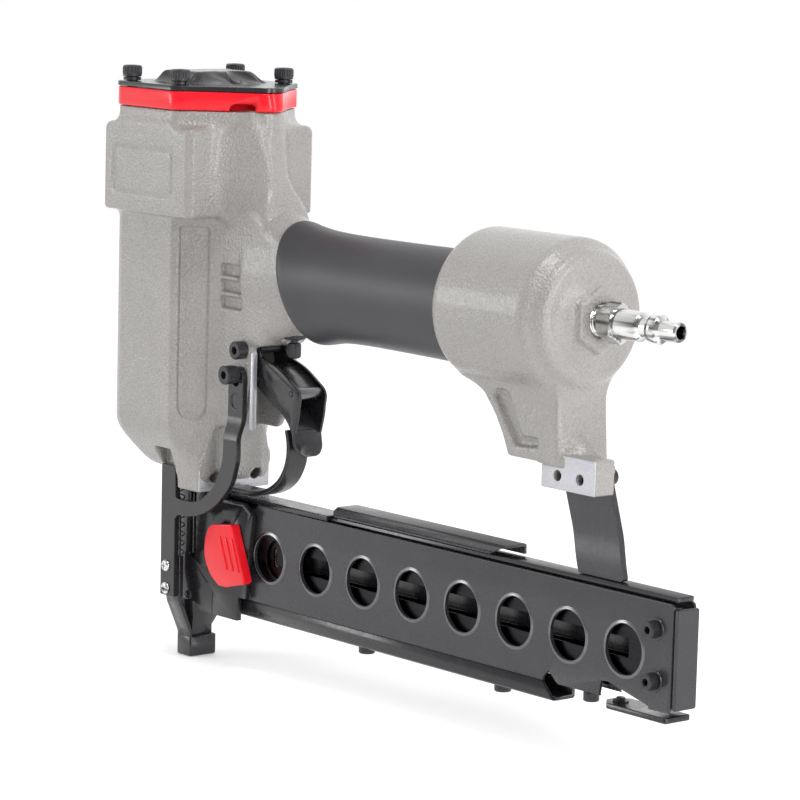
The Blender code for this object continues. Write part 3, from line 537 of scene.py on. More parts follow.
def surface_nets(field, values, name, mat):
    """Skin the zero level with quads, one vertex in each cell that the surface crosses."""
    inside = values < 0
    corners = [(i, j, k) for i in (0, 1) for j in (0, 1) for k in (0, 1)]
    shape = np.array(values.shape) - 1

    def part(array, c):
        return array[c[0]:c[0] + shape[0], c[1]:c[1] + shape[1], c[2]:c[2] + shape[2]]
    total = sum(part(inside, c).astype(np.int8) for c in corners)
    cells = np.argwhere((total > 0) & (total < 8))
    number = np.full(shape, -1, np.int64)
    number[tuple(cells.T)] = np.arange(len(cells))
    sums = np.zeros((len(cells), 3), np.float64)
    hits = np.zeros(len(cells))
    for a in corners:
        for axis in range(3):
            if a[axis]:
                continue
            b = tuple(v + (n == axis) for n, v in enumerate(a))
            va = values[tuple((cells + a).T)].astype(np.float64)
            vb = values[tuple((cells + b).T)].astype(np.float64)
            crossing = (va < 0) != (vb < 0)
            t = np.where(crossing, va / np.where(crossing, va - vb, 1), 0)
            point = np.array(a, float) + np.eye(3)[axis] * t[:, None]
            sums += point * crossing[:, None]
            hits += crossing
    verts = (cells + sums / hits[:, None]) * field.pitch + field.low
    quads = []
    for axis in range(3):
        u, v = [n for n in range(3) if n != axis]
        step = np.eye(3, dtype=int)
        first = [slice(0, None)] * 3
        second = [slice(0, None)] * 3
        first[axis], second[axis] = slice(0, -1), slice(1, None)
        change = inside[tuple(first)] != inside[tuple(second)]
        edges = np.argwhere(change)
        edges = edges[(edges[:, u] > 0) & (edges[:, v] > 0)
                      & (edges[:, u] < values.shape[u] - 1) & (edges[:, v] < values.shape[v] - 1)]
        ring = [number[tuple((edges - a * step[u] - b * step[v]).T)]
                for a, b in ((1, 1), (0, 1), (0, 0), (1, 0))]
        quad = np.stack(ring, 1)
        flip = inside[tuple(edges.T)] != (axis == 1)
        quad[~flip] = quad[~flip][:, ::-1]
        quads.append(quad)
    quads = np.concatenate(quads)
    mesh = bpy.data.meshes.new(name)
    mesh.from_pydata((verts * MM + np.array(AXIS)).tolist(), [], quads.tolist())
    mesh.update()
    mesh.materials.append(mat)
    mesh.shade_smooth()
    obj = bpy.data.objects.new(name, mesh)
    bpy.context.scene.collection.objects.link(obj)
    return obj


def smooth_path(points, steps=6):
    """A Catmull-Rom curve through points that may have any number of values each."""
    out = []
    for i in range(len(points) - 1):
        four = [points[max(i - 1, 0)], points[i], points[i + 1], points[min(i + 2, len(points) - 1)]]
        for k in range(steps):
            t = k / steps
            out.append(tuple(0.5 * (2 * b + (c - a) * t + (2 * a - 5 * b + 4 * c - d) * t * t
                                    + (3 * b - a - 3 * c + d) * t ** 3) for a, b, c, d in zip(*four)))
    return out + [tuple(points[-1])]


def band(path, thick):
    """Side view of a bent strip of one thickness along a path."""
    left, right = [], []
    for i, spot in enumerate(path):
        run = (Vector(path[min(i + 1, len(path) - 1)]) - Vector(path[max(i - 1, 0)])).normalized()
        side = Vector((-run.y, run.x)) * thick / 2
        left.append(tuple(Vector(spot) + side))
        right.append(tuple(Vector(spot) - side))
    return left + right[::-1]


def arc(cx, cy, radius, start, end, steps):
    return [(cx + radius * math.cos(math.radians(start + (end - start) * k / steps)),
             cy + radius * math.sin(math.radians(start + (end - start) * k / steps)))
            for k in range(steps + 1)]


def bent(obj, heights, shift):
    """Cut an upright plate across at some heights and move it in Y by a function of the height."""
    applied(obj)
    bm = bmesh.new()
    bm.from_mesh(obj.data)
    for z in heights:
        bmesh.ops.bisect_plane(bm, geom=bm.verts[:] + bm.edges[:] + bm.faces[:], dist=1e-6,
                               plane_co=(0, 0, z * MM), plane_no=(0, 0, 1))
    for vert in bm.verts:
        vert.co.y += shift(vert.co.z / MM) * MM
    bm.to_mesh(obj.data)
    bm.free()
    return obj


def ramp(value, low, high):
    """Smooth step from 0 to 1."""
    t = min(max((value - low) / (high - low), 0.0), 1.0)
    return t * t * (3 - 2 * t)


def hexagon(radius, spin=0.0):
    return arc(0, 0, radius, spin, spin + 300, 5)


def socket_screw(name, spot, axis, out, radius, height, key, shank_r, shank, knurl=0.0):
    """Socket head screw with a chamfered, perhaps knurled, head."""
    edge = radius * 0.1
    profile = [(-shank, shank_r), (0, shank_r), (0, radius - edge * 0.6), (edge * 0.6, radius),
               (height * 0.22, radius), (height * 0.25, radius), (height * 0.80, radius),
               (height * 0.84, radius), (height - edge, radius), (height, radius - edge * 1.4)]

    def teeth(index, step):
        return knurl * (1 if step % 4 < 2 else -1) if 5 <= index <= 6 else 0.0
    screw = turned(name, [(p * out, r) for p, r in profile], axis, spot, OXIDE, 96, 30, teeth)
    low, high = sorted((height * 0.35 * out, (height + 1) * out))
    place_of = {"X": (1, 2), "Y": (0, 2), "Z": (0, 1)}[axis]
    along = {"X": 0, "Y": 1, "Z": 2}[axis]
    outline = [(spot[place_of[0]] + u, spot[place_of[1]] + v) for u, v in hexagon(key, 15)]
    return cut(screw, slab("key", outline, axis, spot[along] + low, spot[along] + high, OXIDE))


# --- measures that several pieces share ------------------------------------------------------------
HANDLE_Z = (GRIP_LOW.z + GRIP_HIGH.z) / 2
NECK_TOP = BODY_HIGH.z
SCREW_X, SCREW_Y = 17.9, 29.0
BORE_R = 25.2
DRUM_Z, DRUM_R = 182.0, 32.0
DRUM_START = 190.4
PLUG_Z = (PLUG_LOW.z + PLUG_HIGH.z) / 2
EAR_IN, EAR_Y = 9.0, 13.2
VALVE_X = 66.2
STRAP_SCREWS = [(250.6, 0, 119.4), (263.6, 0, 119.4)]
STRAP_BORE_R = 2.3
HEEL_BORE_Y, HEEL_BORE_Z, HEEL_BORE_R = 11.5, 86.5, 2.7


def head_outline(grow=0.0):
    """Plan of the head: bowed front, screw bosses at four corners and a narrow rear lobe."""
    near = [(-x - grow, -y) for x, y in ((28.2, 3.5), (27.9, 9.0), (27.0, 15.0), (25.5, 21.5))]
    near += arc(-SCREW_X, -SCREW_Y, 6 + grow, 180, 270, 8)
    near += arc(SCREW_X, -SCREW_Y, 6 + grow, 270, 328, 8)
    near += [(30.5, -22.8 - grow * 0.6)]
    near += arc(41.6, 0, 8 + grow, -54, 0, 7)
    return near + [(x, -y) for x, y in reversed(near[:-1])]


def wings_and_barrel(f):
    """Barrel with flat flanks and sloped corners, wings round the head, and the neck above."""
    x, y, z, side = f.x, f.y, f.z, f.side
    barrel = f.outline(x, side, [(-31, -5), (-31, 21), (-29, 27), (-24, 29), (13.5, 29), (26.5, 13),
                                 (26.5, -5)])
    barrel = blend_common(barrel, 87.5 - z, 3)
    barrel = np.maximum(barrel, z - 215)
    barrel = blend_common(barrel, (-31 + (106 - z) * 0.80 - x) * 0.78, 4)
    barrel = blend_common(barrel, (side - 29 + (106 - z) * 0.62) * 0.85, 4)
    wings = f.outline(x, side, [(-30.8, -5), (-30.8, 33.3), (-28.6, 35.5), (31.4, 35.5), (34, 32.9),
                                (34, -5)])
    wings = blend_common(wings, z - 243.5, 4)
    wings = blend_common(wings, 203.8 - z, 2)
    body = blend_union(barrel, wings, 4)
    neck = np.maximum(f.outline(x, y, head_outline(-0.7)), np.maximum(z - NECK_TOP, 225 - z))
    return blend_union(body, neck, 5)


def handle_block(f):
    """Block behind the barrel, which closes to a ridge under the lobe, and the cast handle."""
    x, z, side = f.x, f.z, f.side
    profile = f.outline(x, z, [(14, 110), (51.5, 110), (51.9, 147.8), (68, 152), (92, 159.5), (92, 202),
                               (84, 203.4), (70, 207.4), (62, 211.5), (56, 217.5), (52.6, 225),
                               (50.6, 235), (49.3, 246), (49.0, 253), (14, 253)])
    rise = np.clip((z - 198) / 27, 0, 1)
    rise = rise * rise * (3 - 2 * rise)
    half = (1 - rise) * (EAR_Y + 0.1) + rise * (4.4 + 0.85 * np.maximum(-profile, 0))
    root = blend_common(profile, (side - half) * (1 - 0.25 * rise), 2.5)
    root = np.maximum(root, z - NECK_TOP)
    mouth = 16.2 + np.maximum(76 - x, 0) * 0.3 + np.maximum(60 - x, 0) * 1.5
    inside_grip = np.sqrt(((z - HANDLE_Z) / 1.42) ** 2 + side ** 2) - mouth
    root = blend_common(root, inside_grip, 3)
    return blend_union(root, f.cylinder_x(HANDLE_Z, 14.6, 44, 200, 2, 1.30), 3)


def rear_drum(f):
    """Air drum with a two-step shoulder and a cone to the hexagonal boss."""
    x, y, z = f.x, f.y, f.z
    drum = blend_common(f.cylinder_x(DRUM_Z, DRUM_R, DRUM_START, 262.0, 6.5), x - 250.2, 6)
    drum = blend_union(drum, f.cylinder_x(DRUM_Z, 28.0, 220, 255.6, 4.4), 3.0)
    cone = (np.sqrt(y ** 2 + (z - DRUM_Z) ** 2) - 20.0 + (x - 256.0) * 3.4) * 0.28
    drum = blend_union(drum, np.maximum(cone, f.cylinder_x(DRUM_Z, 25, 235, 258.4, 0.5)), 1.5)
    hexes = [(u, PLUG_Z + v) for u, v in hexagon(13.8, 30)]
    boss = np.maximum(blend_common(f.outline(y, z, hexes), x - 261, 1.2), 236 - x)
    return blend_union(drum, boss, 2.0)


def rear_leg(f):
    """Leg under the drum, with a grooved panel on each side."""
    x, z, side = f.x, f.z, f.side
    leg = f.outline(x, z, [(188, 160), (198, 153.5), (207, 147), (213.5, 139.5), (218.5, 131.5),
                           (222, 123.6), (253, 123.5), (252.0, 136), (251.0, 150), (249, 170), (200, 172)])
    leg = blend_common(leg, side - 13.8, 2)
    panel = f.outline(x, z, rounded([(210.8, 151), (247.5, 151), (247.8, 129.6), (227.0, 128.6)], 2.5))
    inner = f.outline(x, z, rounded([(218.5, 155), (252, 155), (252, 133.4), (230.6, 132.8)], 1.5))
    groove = blend_common(np.maximum(panel, -inner), 11.6 - side, 1.2)
    return blend_cut(leg, groove, 0.7)


def lug(f):
    block = f.box((241, -12, 113.6), (272.4, -1.2, 128), 0.4)
    inward = np.clip((f.y + 13.8) / 11.5, 0, 1)
    spread = np.clip((142 - f.z) / 17, 0, 1) ** 2
    flare = (f.x - 250.8 - 21.4 * inward * spread) * 0.6
    flare = np.maximum(flare, np.abs(f.z - 133.5) - 10.0)
    flare = np.maximum(flare, np.maximum(np.abs(f.y + 7.5) - 6.3, 240 - f.x))
    return blend_union(block, flare, 1.0)


def heel(f):
    """Block with the machined rear face, and the rounded ledge where the ears end."""
    block = f.box((8.7, -20, 79.9), (24.5, 20, 96), 0.5)
    shelf = f.outline(f.x, f.z, [(8, 92), (25.0, 92), (26.3, 106), (26.5, 113), (8, 113)])
    shelf = blend_common(shelf, f.side - 20 + np.clip(f.z - 94, 0, 20) * 0.36, 2)
    return blend_union(block, shelf, 2)


def cast_cuts(f, body):
    """Recesses on the outside of the casting: badge, corner panels and exhaust slots."""
    x, z, side = f.x, f.z, f.side
    badge = f.outline(x, z, rounded(rect(-22.8, 212.6, 21.0, 233.2), 2.5))
    rim = f.outline(x, z, rounded(rect(-21.8, 213.6, 20.0, 232.2), 2.0))
    frame_groove = np.maximum(np.maximum(badge, -rim), 34.7 - side)
    body = blend_cut(body, frame_groove, 0.4)
    body = blend_cut(body, np.maximum(badge, 35.15 - side), 0.4)
    turn = math.radians(51)
    across = (x - 20.0) * math.cos(turn) - (side - 21.0) * math.sin(turn)
    out = (x - 20.0) * math.sin(turn) + (side - 21.0) * math.cos(turn)
    width = np.sqrt(across ** 2 + np.minimum(z - 118.6, 0) ** 2) - 6.4
    width = np.maximum(width, z - 199)
    body = blend_cut(body, blend_common(width, -out - 1.7, 0.8), 0.7)
    for low in (178.2, 171.0, 163.8):
        slot = f.box((29.0, -20, low), (44.6, 20, low + 5.2), 1.0)
        body = blend_cut(body, np.maximum(slot, 11.2 - side), 0.6)
    return body


def hollows(f, body):
    """Bore, air passage, drum chamber, plug thread, trigger pocket and valve seat."""
    for hollow in (f.cylinder_z(0, BORE_R, 112, 260), f.cylinder_z(0, 7.2, 70, 118),
                   f.cylinder_x(HANDLE_Z, 9.4, 10, 205, 1, 1.4),
                   f.cylinder_x(DRUM_Z, 25, 198, 240, 5), f.cylinder_x(PLUG_Z, 6.7, 236, 266, 0.1),
                   f.box((29.5, -EAR_IN, 104), (54, EAR_IN, 153.3), 0.4),
                   f.cylinder_z(VALVE_X, 5.4, 140, 163.4),
                   f.box((-3.3, -24, 79), (8.3, -16.7, 98), 0.3),
                   *(f.cylinder_y(x, z, STRAP_BORE_R, -16, 2) for x, _, z in STRAP_SCREWS)):
        body = np.maximum(body, -hollow)
    for sign in (-1, 1):
        tapped = np.sqrt((f.y - HEEL_BORE_Y * sign) ** 2 + (f.z - HEEL_BORE_Z) ** 2) - HEEL_BORE_R
        body = np.maximum(body, -np.maximum(tapped, np.abs(f.x - 22) - 8))
    return body


def build_casting():
    f = Field((-33.6, -38.4, 76), (275, 38.4, 254), PITCH)
    body = blend_union(wings_and_barrel(f), handle_block(f), 4)
    body = blend_union(body, blend_union(rear_drum(f), rear_leg(f), 5), 2)
    body = blend_union(body, lug(f), 1.0)
    body = blend_union(body, heel(f), 6)
    body = hollows(f, cast_cuts(f, body))
    limits = ((BODY_LOW.x + 0.05 - f.x), (f.side - BODY_HIGH.y + 0.05))
    for limit in limits:
        body = np.maximum(body, limit)
    return surface_nets(f, body, "cast_body", PAINT)


def machined_faces():
    """Thin bright skins on the faces that are milled after painting."""
    pad = slab("pad_skin", rounded(rect(241.2, 113.8, 272.2, 127.8), 0.5),
               "Y", -12.1, -11.5, MILLED, 0.15)
    drilled(pad, "Y", (-14, -10), STRAP_BORE_R, STRAP_SCREWS, MILLED, 32)
    face = slab("heel_skin", rounded(rect(-19.8, 80.2, 19.8, 91.6), 0.6),
                "X", 24.3, 24.95, MILLED, 0.15)
    drilled(face, "X", (20, 28), HEEL_BORE_R, [(0, -HEEL_BORE_Y, HEEL_BORE_Z), (0, HEEL_BORE_Y, HEEL_BORE_Z)],
            MILLED, 32)
    parts = [pad, face]
    for sign in (-1, 1):
        inner, outer = sorted((sign * (EAR_IN + 0.3), sign * (EAR_Y - 0.3)))
        strip = rect(inner, 111.0, outer, 146.6)
        parts.append(slab("ear_skin", rounded(strip, 1.6), "X", 51.2, 51.95, MILLED, 0.2))
    return joined("machined_skins", *parts)


settle(build_casting(), "tool_body", "hammered_paint", "body_casting")
settle(machined_faces(), "tool_body", "alloy")


# --- head: ring, stamped plate, screws ------------------------------------------------------------
SEATS = [(x, y) for y in (-SCREW_Y, SCREW_Y) for x in (-SCREW_X, SCREW_X)]


def exhaust_ring():
    ring = slab("exhaust_moulding", head_outline(), "Z", RING_LOW.z, RING_HIGH.z, RED, 0.7, 3)
    drilled(ring, "Z", (245, 265), BORE_R, [(0, 0, 0)], RED, 96)
    low = RING_LOW.z - 1
    port = slab("port", [(-5, low), (7, low), (7, low + 3.4), (5.8, low + 4.4), (-2.0, low + 4.4),
                         (-4.2, low + 3.2)], "Y", -7, 7, SEAL)
    spot = AXIS + Vector((39.0, -12.0, 0)) * MM
    port.data.transform(Matrix.Translation(spot) @ Matrix.Rotation(math.radians(48), 4, "Z")
                        @ Matrix.Translation(-AXIS))
    cut(ring, port)
    return drilled(ring, "Z", (245, 265), 2.8, [(x, y, 0) for x, y in SEATS], RED, 32)


def stamped_height(x, y):
    """Rise of the cover's raised centre, which curves in round each screw."""
    inset = min(15.6 - abs(x - 0.5), 31.0 - abs(y))
    for sx, sy in SEATS:
        reach = math.hypot(x - sx, y - sy) - 9.8
        gap = max(3.0 - abs(inset - reach), 0) / 3.0
        inset = min(inset, reach) - gap * gap * 0.75
    return ramp(inset, 0.0, 5.2)


def cover_plate():
    """Stamped plate: rings of its outline shrink to the centre and rise with the pressed shape."""
    low, high = node_box("head_cover_plate")
    rim = 2.0
    outline = head_outline(0.3)
    centre = Vector((6.0, 0))
    bm = bmesh.new()
    rings = []
    scales = [1.0, 1.0, 0.992] + [0.992 - 0.972 * (k / 44) for k in range(1, 45)]
    for index, scale in enumerate(scales):
        ring = []
        for u, v in outline:
            spot = centre + (Vector((u, v)) - centre) * scale
            z = low.z + rim + (high.z - low.z - rim) * stamped_height(*spot)
            z -= (0.0 if index >= 2 else 0.25 if index == 1 else rim)
            ring.append(bm.verts.new((spot.x, spot.y, z)))
        rings.append(ring)
    quads(bm, rings)
    bm.faces.new(rings[0])
    bm.faces.new(rings[-1])
    bm.verts.index_update()
    soft = [vert for ring in rings[5:] for vert in ring]
    for _ in range(3):
        bmesh.ops.smooth_vert(bm, verts=soft, factor=0.5, use_axis_z=True)
    return to_object("stamped_plate", bm, BLACK, 50)


settle(exhaust_ring(), "tool_body", "red_gloss", "exhaust_ring")
settle(cover_plate(), "tool_body", "black_coat", "head_cover_plate")
for number, (x, y) in enumerate(SEATS, 1):
    name = "head_screw_%d" % number
    low, high = node_box(name)
    head = 5.0
    screw = socket_screw("knurled_screw_%d" % number, (x, y, high.z - head), "Z", 1, 4.25, head, 2.3,
                         2.5, 25.0, 0.13)
    settle(screw, "tool_body", "black_screw", name)


# --- grip and air plug ----------------------------------------------------------------------------
def grip():
    """Moulded rubber sleeve with a slanted, flared front lip."""
    steps = 72
    stations = [(72.5, 90.5, 23.0, 16.6), (69.4, 87.4, 23.6, 17.2), (68.4, 86.2, 25.0, 18.6),
                (69.6, 87.4, 26.0, 20.0), (72.0, 89.6, 26.3, 20.5), (77, 95, 25.4, 20.0),
                (90, 104, 23.9, 19.1), (108, 117, 23.3, 18.9), (130, 134, 23.2, 18.9),
                (160, 161, 23.4, 18.9), (188.3, 188.3, 23.8, 19.0)]
    sections = []
    for top, low, high, wide in smooth_path(stations, 4) + [(188.3, 188.3, 20.3, 15.7)]:
        ring = []
        for i in range(steps):
            turn = 2 * math.pi * i / steps
            x = (top + low) / 2 + (top - low) / 2 * math.sin(turn)
            ring.append((x, wide * math.cos(turn), HANDLE_Z + high * math.sin(turn)))
        sections.append(ring)
    inner = [[(104, 15.7 * math.cos(2 * math.pi * i / steps),
               HANDLE_Z + 20.3 * math.sin(2 * math.pi * i / steps)) for i in range(steps)]]
    return loft("grip_sleeve", sections + inner + [sections[0]], RUBBER, 40, closed=False)


def plug():
    """Quarter-inch air plug: thread, hexagon, groove, collar and nose with its bore."""
    thread = []
    for k in range(12):
        x = 249.6 + 1.25 * k
        thread += [(x, 5.7), (x + 0.45, 6.5), (x + 0.7, 6.5)]
    profile = [(249.0, 3.0), (249.0, 5.7)] + thread + [
        (264.8, 5.9), (264.8, 7.0), (271.8, 7.0), (271.8, 6.1), (273.2, 6.1), (273.6, 6.0), (283.6, 6.0),
        (284.4, 5.6), (285.6, 4.3), (288.6, 4.3), (289.8, 5.5), (290.4, 5.9), (294.2, 5.9), (294.9, 5.5),
        (296.2, 4.1), (297.0, 4.0), (304.2, 4.0), (304.95, 3.4), (304.95, 2.7), (303.6, 2.3), (255, 2.3),
        (249.0, 3.0)]
    body = turned("plug_body", profile, "X", (0, 0, PLUG_Z), PLATING, 80, 32)
    nut = slab("nut", [(u, PLUG_Z + v) for u, v in hexagon(8.5, 30)], "X", 264.6, 272.2, PLATING)
    chamfer = turned("chamfer", [(264.4, 7.3), (265.4, 8.5), (271.4, 8.5), (272.4, 7.3)], "X",
                     (0, 0, PLUG_Z), PLATING, 80)
    combined(nut, chamfer, "INTERSECT", 25)
    drilled(nut, "X", (255, 280), 6.2, [(0, 0, PLUG_Z)], PLATING, 48)
    return joined("plug_fitting", body, nut)


settle(grip(), "tool_body", "soft_rubber", "rubber_grip")
settle(plug(), "tool_body", "bright_plating", "air_plug")


# --- coil springs -----------------------------------------------------------------------------------
def spring(node, spot, radius, wire, low, high, turns, mat):
    """Coil along Z from a low to a high end, with a number of turns."""
    steps, sides = 24, 8
    count = int(turns * steps)
    rings = []
    for k in range(count + 1):
        turn = 2 * math.pi * k / steps
        rise = low + wire + (high - low - 2 * wire) * k / count
        section = [(radius + out, rise + up) for out, up in arc(0, 0, wire, 0, 360 - 360 / sides, sides - 1)]
        rings.append([(spot[0] + out * math.cos(turn), spot[1] + out * math.sin(turn), z)
                      for out, z in section])
    piece = settle(loft(node + "_coil", rings, mat, 60), "tool_body", SLOT_OF[node], node)
    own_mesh(piece)


spring("head_valve_spring", (0, 0), 17.6, 1.0, 233.3, 259.2, 4, STEEL)
spring("trigger_valve_spring", (VALVE_X, 0), 2.4, 0.35, 151.7, 162.6, 3, STEEL)
spring("safety_spring", (4.5, -14.6), 1.9, 0.35, 48.4, 87.1, 9, BLACK)


# --- trigger group --------------------------------------------------------------------------------
PIVOT = (46.8, 0, 146.6)
LEVER_PIN = (74.6, 0, 130.0)
GUIDE_X = 45.5
FOOT_SCREWS = [(1.8, 0, 43.4), (1.8, 0, 33.0)]
CHEEK_Y = 8.0


def trigger():
    """Bent channel with two cheeks, a web in front and a tongue for the finger."""
    upper = smooth_path([(52.6, 143.6), (60, 141.6), (66.5, 139.2), (73.6, 135.2), (78.7, 131.9),
                         (80.2, 128.6), (79.6, 124.4), (79.1, 120.1), (77.0, 112.0)], 4)
    lower = smooth_path([(75.4, 112.0), (70.7, 118.1), (59.9, 124.7), (49.7, 130.5), (44.5, 137.0)], 4)
    eye = arc(46.8, 146.4, 4.2, 190, 20, 8)
    body = slab("channel", upper + lower + eye, "Y", -CHEEK_Y, CHEEK_Y, BLACK, 0.6, 3)
    tongue = []
    for x in (75.0, 76.5):
        edge = [(-CHEEK_Y + 0.05, 114.0)] + arc(-1.9, 108.4, 6.05, 180, 270, 8)
        ring = edge + [(-y, z) for y, z in reversed(edge)]
        tongue.append([(x + 0.16 * (114 - z) + 0.022 * max(111 - z, 0) ** 2, y, z) for y, z in ring])
    finger = bevelled(loft("finger", tongue, BLACK), 0.5, 3)
    room = [(38, 160), (38, 142.2), (45.6, 137.6), (50.5, 132.0), (60.6, 126.1), (71.6, 119.3),
            (76.0, 114.2), (77.6, 111.0), (95, 111.0), (95, 160)]
    cut(body, slab("room", room, "Y", -6.6, 6.6, BLACK))
    drilled(body, "Y", (-12, 12), 2.4, [PIVOT], BLACK, 32)
    drilled(body, "Y", (-12, 12), 1.4, [LEVER_PIN], BLACK)
    return joined("trigger_channel_shell", body, finger)


def lever():
    """Thin lever whose end curls round the pin."""
    path = smooth_path([(53.2, 140.6), (60, 139.5), (66.5, 137.0), (72.5, 133.6), (75.6, 131.9)], 6)
    curl = arc(76.3, 129.9, 2.9, 120, -150, 18) + arc(76.3, 129.9, 1.7, -150, 120, 12)
    # painted highlight: the curled end is lighter steel in place of a highlight on black
    roll = slab("roll", curl, "Y", -6.3, 6.3, PAINTED_HIGHLIGHT_STEEL, 0.3, 2)
    sheet = slab("sheet", band(path, 1.3), "Y", -6.3, 6.3, BLACK, 0.3, 2)
    return joined("lever_sheet", sheet, roll)


def stem_cap():
    """Fluted button of the trigger valve."""
    def flutes(index, step):
        return -0.35 * (0.5 - 0.5 * math.cos(step * 2 * math.pi / 8)) if 3 <= index <= 4 else 0.0
    profile = [(144.4, 1.6), (144.4, 2.2), (144.7, 2.6), (145.3, 2.95), (150.4, 2.95), (151.0, 2.6),
               (151.4, 1.6), (158.0, 1.6)]
    return turned("stem_button", profile, "Z", (VALVE_X, 0, 0), OXIDE, 112, 40, flutes)


def guard():
    path = smooth_path([(68.2, 113.0), (69.6, 107.5), (69.6, 101.5), (67.8, 95.5), (63.8, 89.6),
                        (57.8, 85.2), (51.0, 82.5), (43.0, 81.2), (28.0, 81.0)], 5)
    return slab("guard_strap", band(path, 2.2), "Y", -5.5, 5.5, BLACK, 0.5, 3)


def housing():
    return turned("valve_bush", [(152.9, 3.3), (152.9, 4.7), (153.3, 5.1), (163.0, 5.1), (163.0, 3.3),
                                 (152.9, 3.3)], "Z", (VALVE_X, 0, 0), OXIDE, 48)


settle(trigger(), "trigger_channel", "black_screw", "trigger")
settle(lever(), "trigger_inner_lever", "black_screw", "trigger_lever")
settle(stem_cap(), "valve_stem", "black_screw", "trigger_valve_stem")
settle(guard(), "tool_body", "black_coat", "trigger_guard")
settle(housing(), "tool_body", "black_screw", "trigger_valve_housing")
settle(socket_screw("pivot_head", (PIVOT[0], -EAR_Y - GAP, PIVOT[2]), "Y", -1, 4.0, 5.0, 2.0, 2.1, 26.0),
       "tool_body", "black_screw", "trigger_pivot_screw")
settle(socket_screw("guide_head", (GUIDE_X, -18.6, 135.8), "Y", -1, 4.2, 4.6, 2.0, 2.1, 9.6),
       "tool_body", "black_screw", "safety_guide_screw")


# --- safety: bent side plate and foot ---------------------------------------------------------------
STEP_FROM, STEP_TO = 106.0, 117.5


def side_shift(z):
    """The plate steps towards the body between its curved foot and its upright arm."""
    return 3.8 * ramp(z, STEP_FROM, STEP_TO)


def safety_side():
    sweep = smooth_path([(51.9, 106.0), (51.9, 98.7), (50.4, 93.1), (48.0, 87.0), (43.8, 81.9), (37.8, 76.4),
                         (31.7, 72.7), (25.1, 69.9), (18.5, 68.4), (9.5, 67.6)], 4)
    back = smooth_path([(7.9, 76.4), (9.4, 75.2), (16.5, 75.0), (24.1, 76.2), (29.8, 79.4), (35.2, 84.2),
                        (39.6, 91.3), (41.9, 98.4), (42.3, 106.0)], 4)
    strip = [(7.6, 65.6), (7.8, 29.7), (-2.4, 29.7), (-2.8, 89.6), (7.6, 89.6)]
    top = arc(GUIDE_X, 134.0, 5.2, 180, 0, 14)
    outline = [(51.9, 106.0)] + sweep[1:] + strip + back + [(40.3, 117.0)] + top + [(50.7, 117.0)]
    plate = slab("plate", outline, "Y", -20.1, -17.4, BLACK)
    slot = arc(GUIDE_X, 135.8, 2.4, 0, 180, 10) + arc(GUIDE_X, 132.8, 2.4, 180, 360, 10)
    cut(plate, slab("slot", slot, "Y", -24, -12, BLACK))
    drilled(plate, "Y", (-24, -12), 2.0, FOOT_SCREWS, BLACK)
    drilled(plate, "Y", (-24, -19.5), 3.4, [(GUIDE_X, 0, 123.9)], BLACK, 40)
    bent(plate, [STEP_FROM + 1.15 * k for k in range(11)], side_shift)
    return bevelled(plate, 0.4, 2)


def safety_foot():
    block = slab("block", rounded(rect(-6.2, -7.4, 4.6, 7.4), 1.2), "Z", 0, 9.4,
                 BLACK, 0.7, 3)
    cut(block, slab("room", rect(-4.25, -5.95, 3.4, 5.95), "Z", -2, 12, BLACK))
    rows = ((4.0, -5.8, 4.2, -7.3, -5.9), (10.5, -5.8, 4.2, -7.3, -6.2), (12.0, -5.6, 4.5, -8.0, -6.6),
            (26.0, -2.8, 7.0, -16.0, -13.6), (28.5, -2.6, 7.2, -16.7, -14.2), (48.0, -2.6, 7.2, -16.7, -14.2))
    strip = bevelled(loft("strip", [[(x0, y0, z), (x1, y0, z), (x1, y1, z), (x0, y1, z)]
                                    for z, x0, x1, y0, y1 in rows], BLACK, 50), 0.4, 2)
    return joined("foot_shoe", block, strip)


def cross_screw(name, spot):
    """Domed chrome screw with a cross recess."""
    x, _, z = spot
    dome = [(-13.0, 1.7), (-20.2, 1.7), (-20.2, 2.7)] + [
        (-20.3 - 1.3 * math.sin(math.radians(a)), 2.7 * math.cos(math.radians(a)))
        for a in range(0, 86, 12)]
    screw = turned(name, dome, "Y", spot, PLATING, 48, 40)
    for u, v in ((0.32, 1.5), (1.5, 0.32)):
        cut(screw, slab("cross", rect(x - u, z - v, x + u, z + v),
                        "Y", -24, -20.7, PLATING))
    return screw


settle(safety_side(), "safety_yoke", "black_coat", "safety_plate")
settle(safety_foot(), "safety_yoke", "black_coat", "safety_foot")
for number, spot in enumerate(FOOT_SCREWS, 1):
    settle(cross_screw("cross_screw_%d" % number, spot), "safety_yoke", "bright_plating",
           "safety_foot_screw_%d" % number)


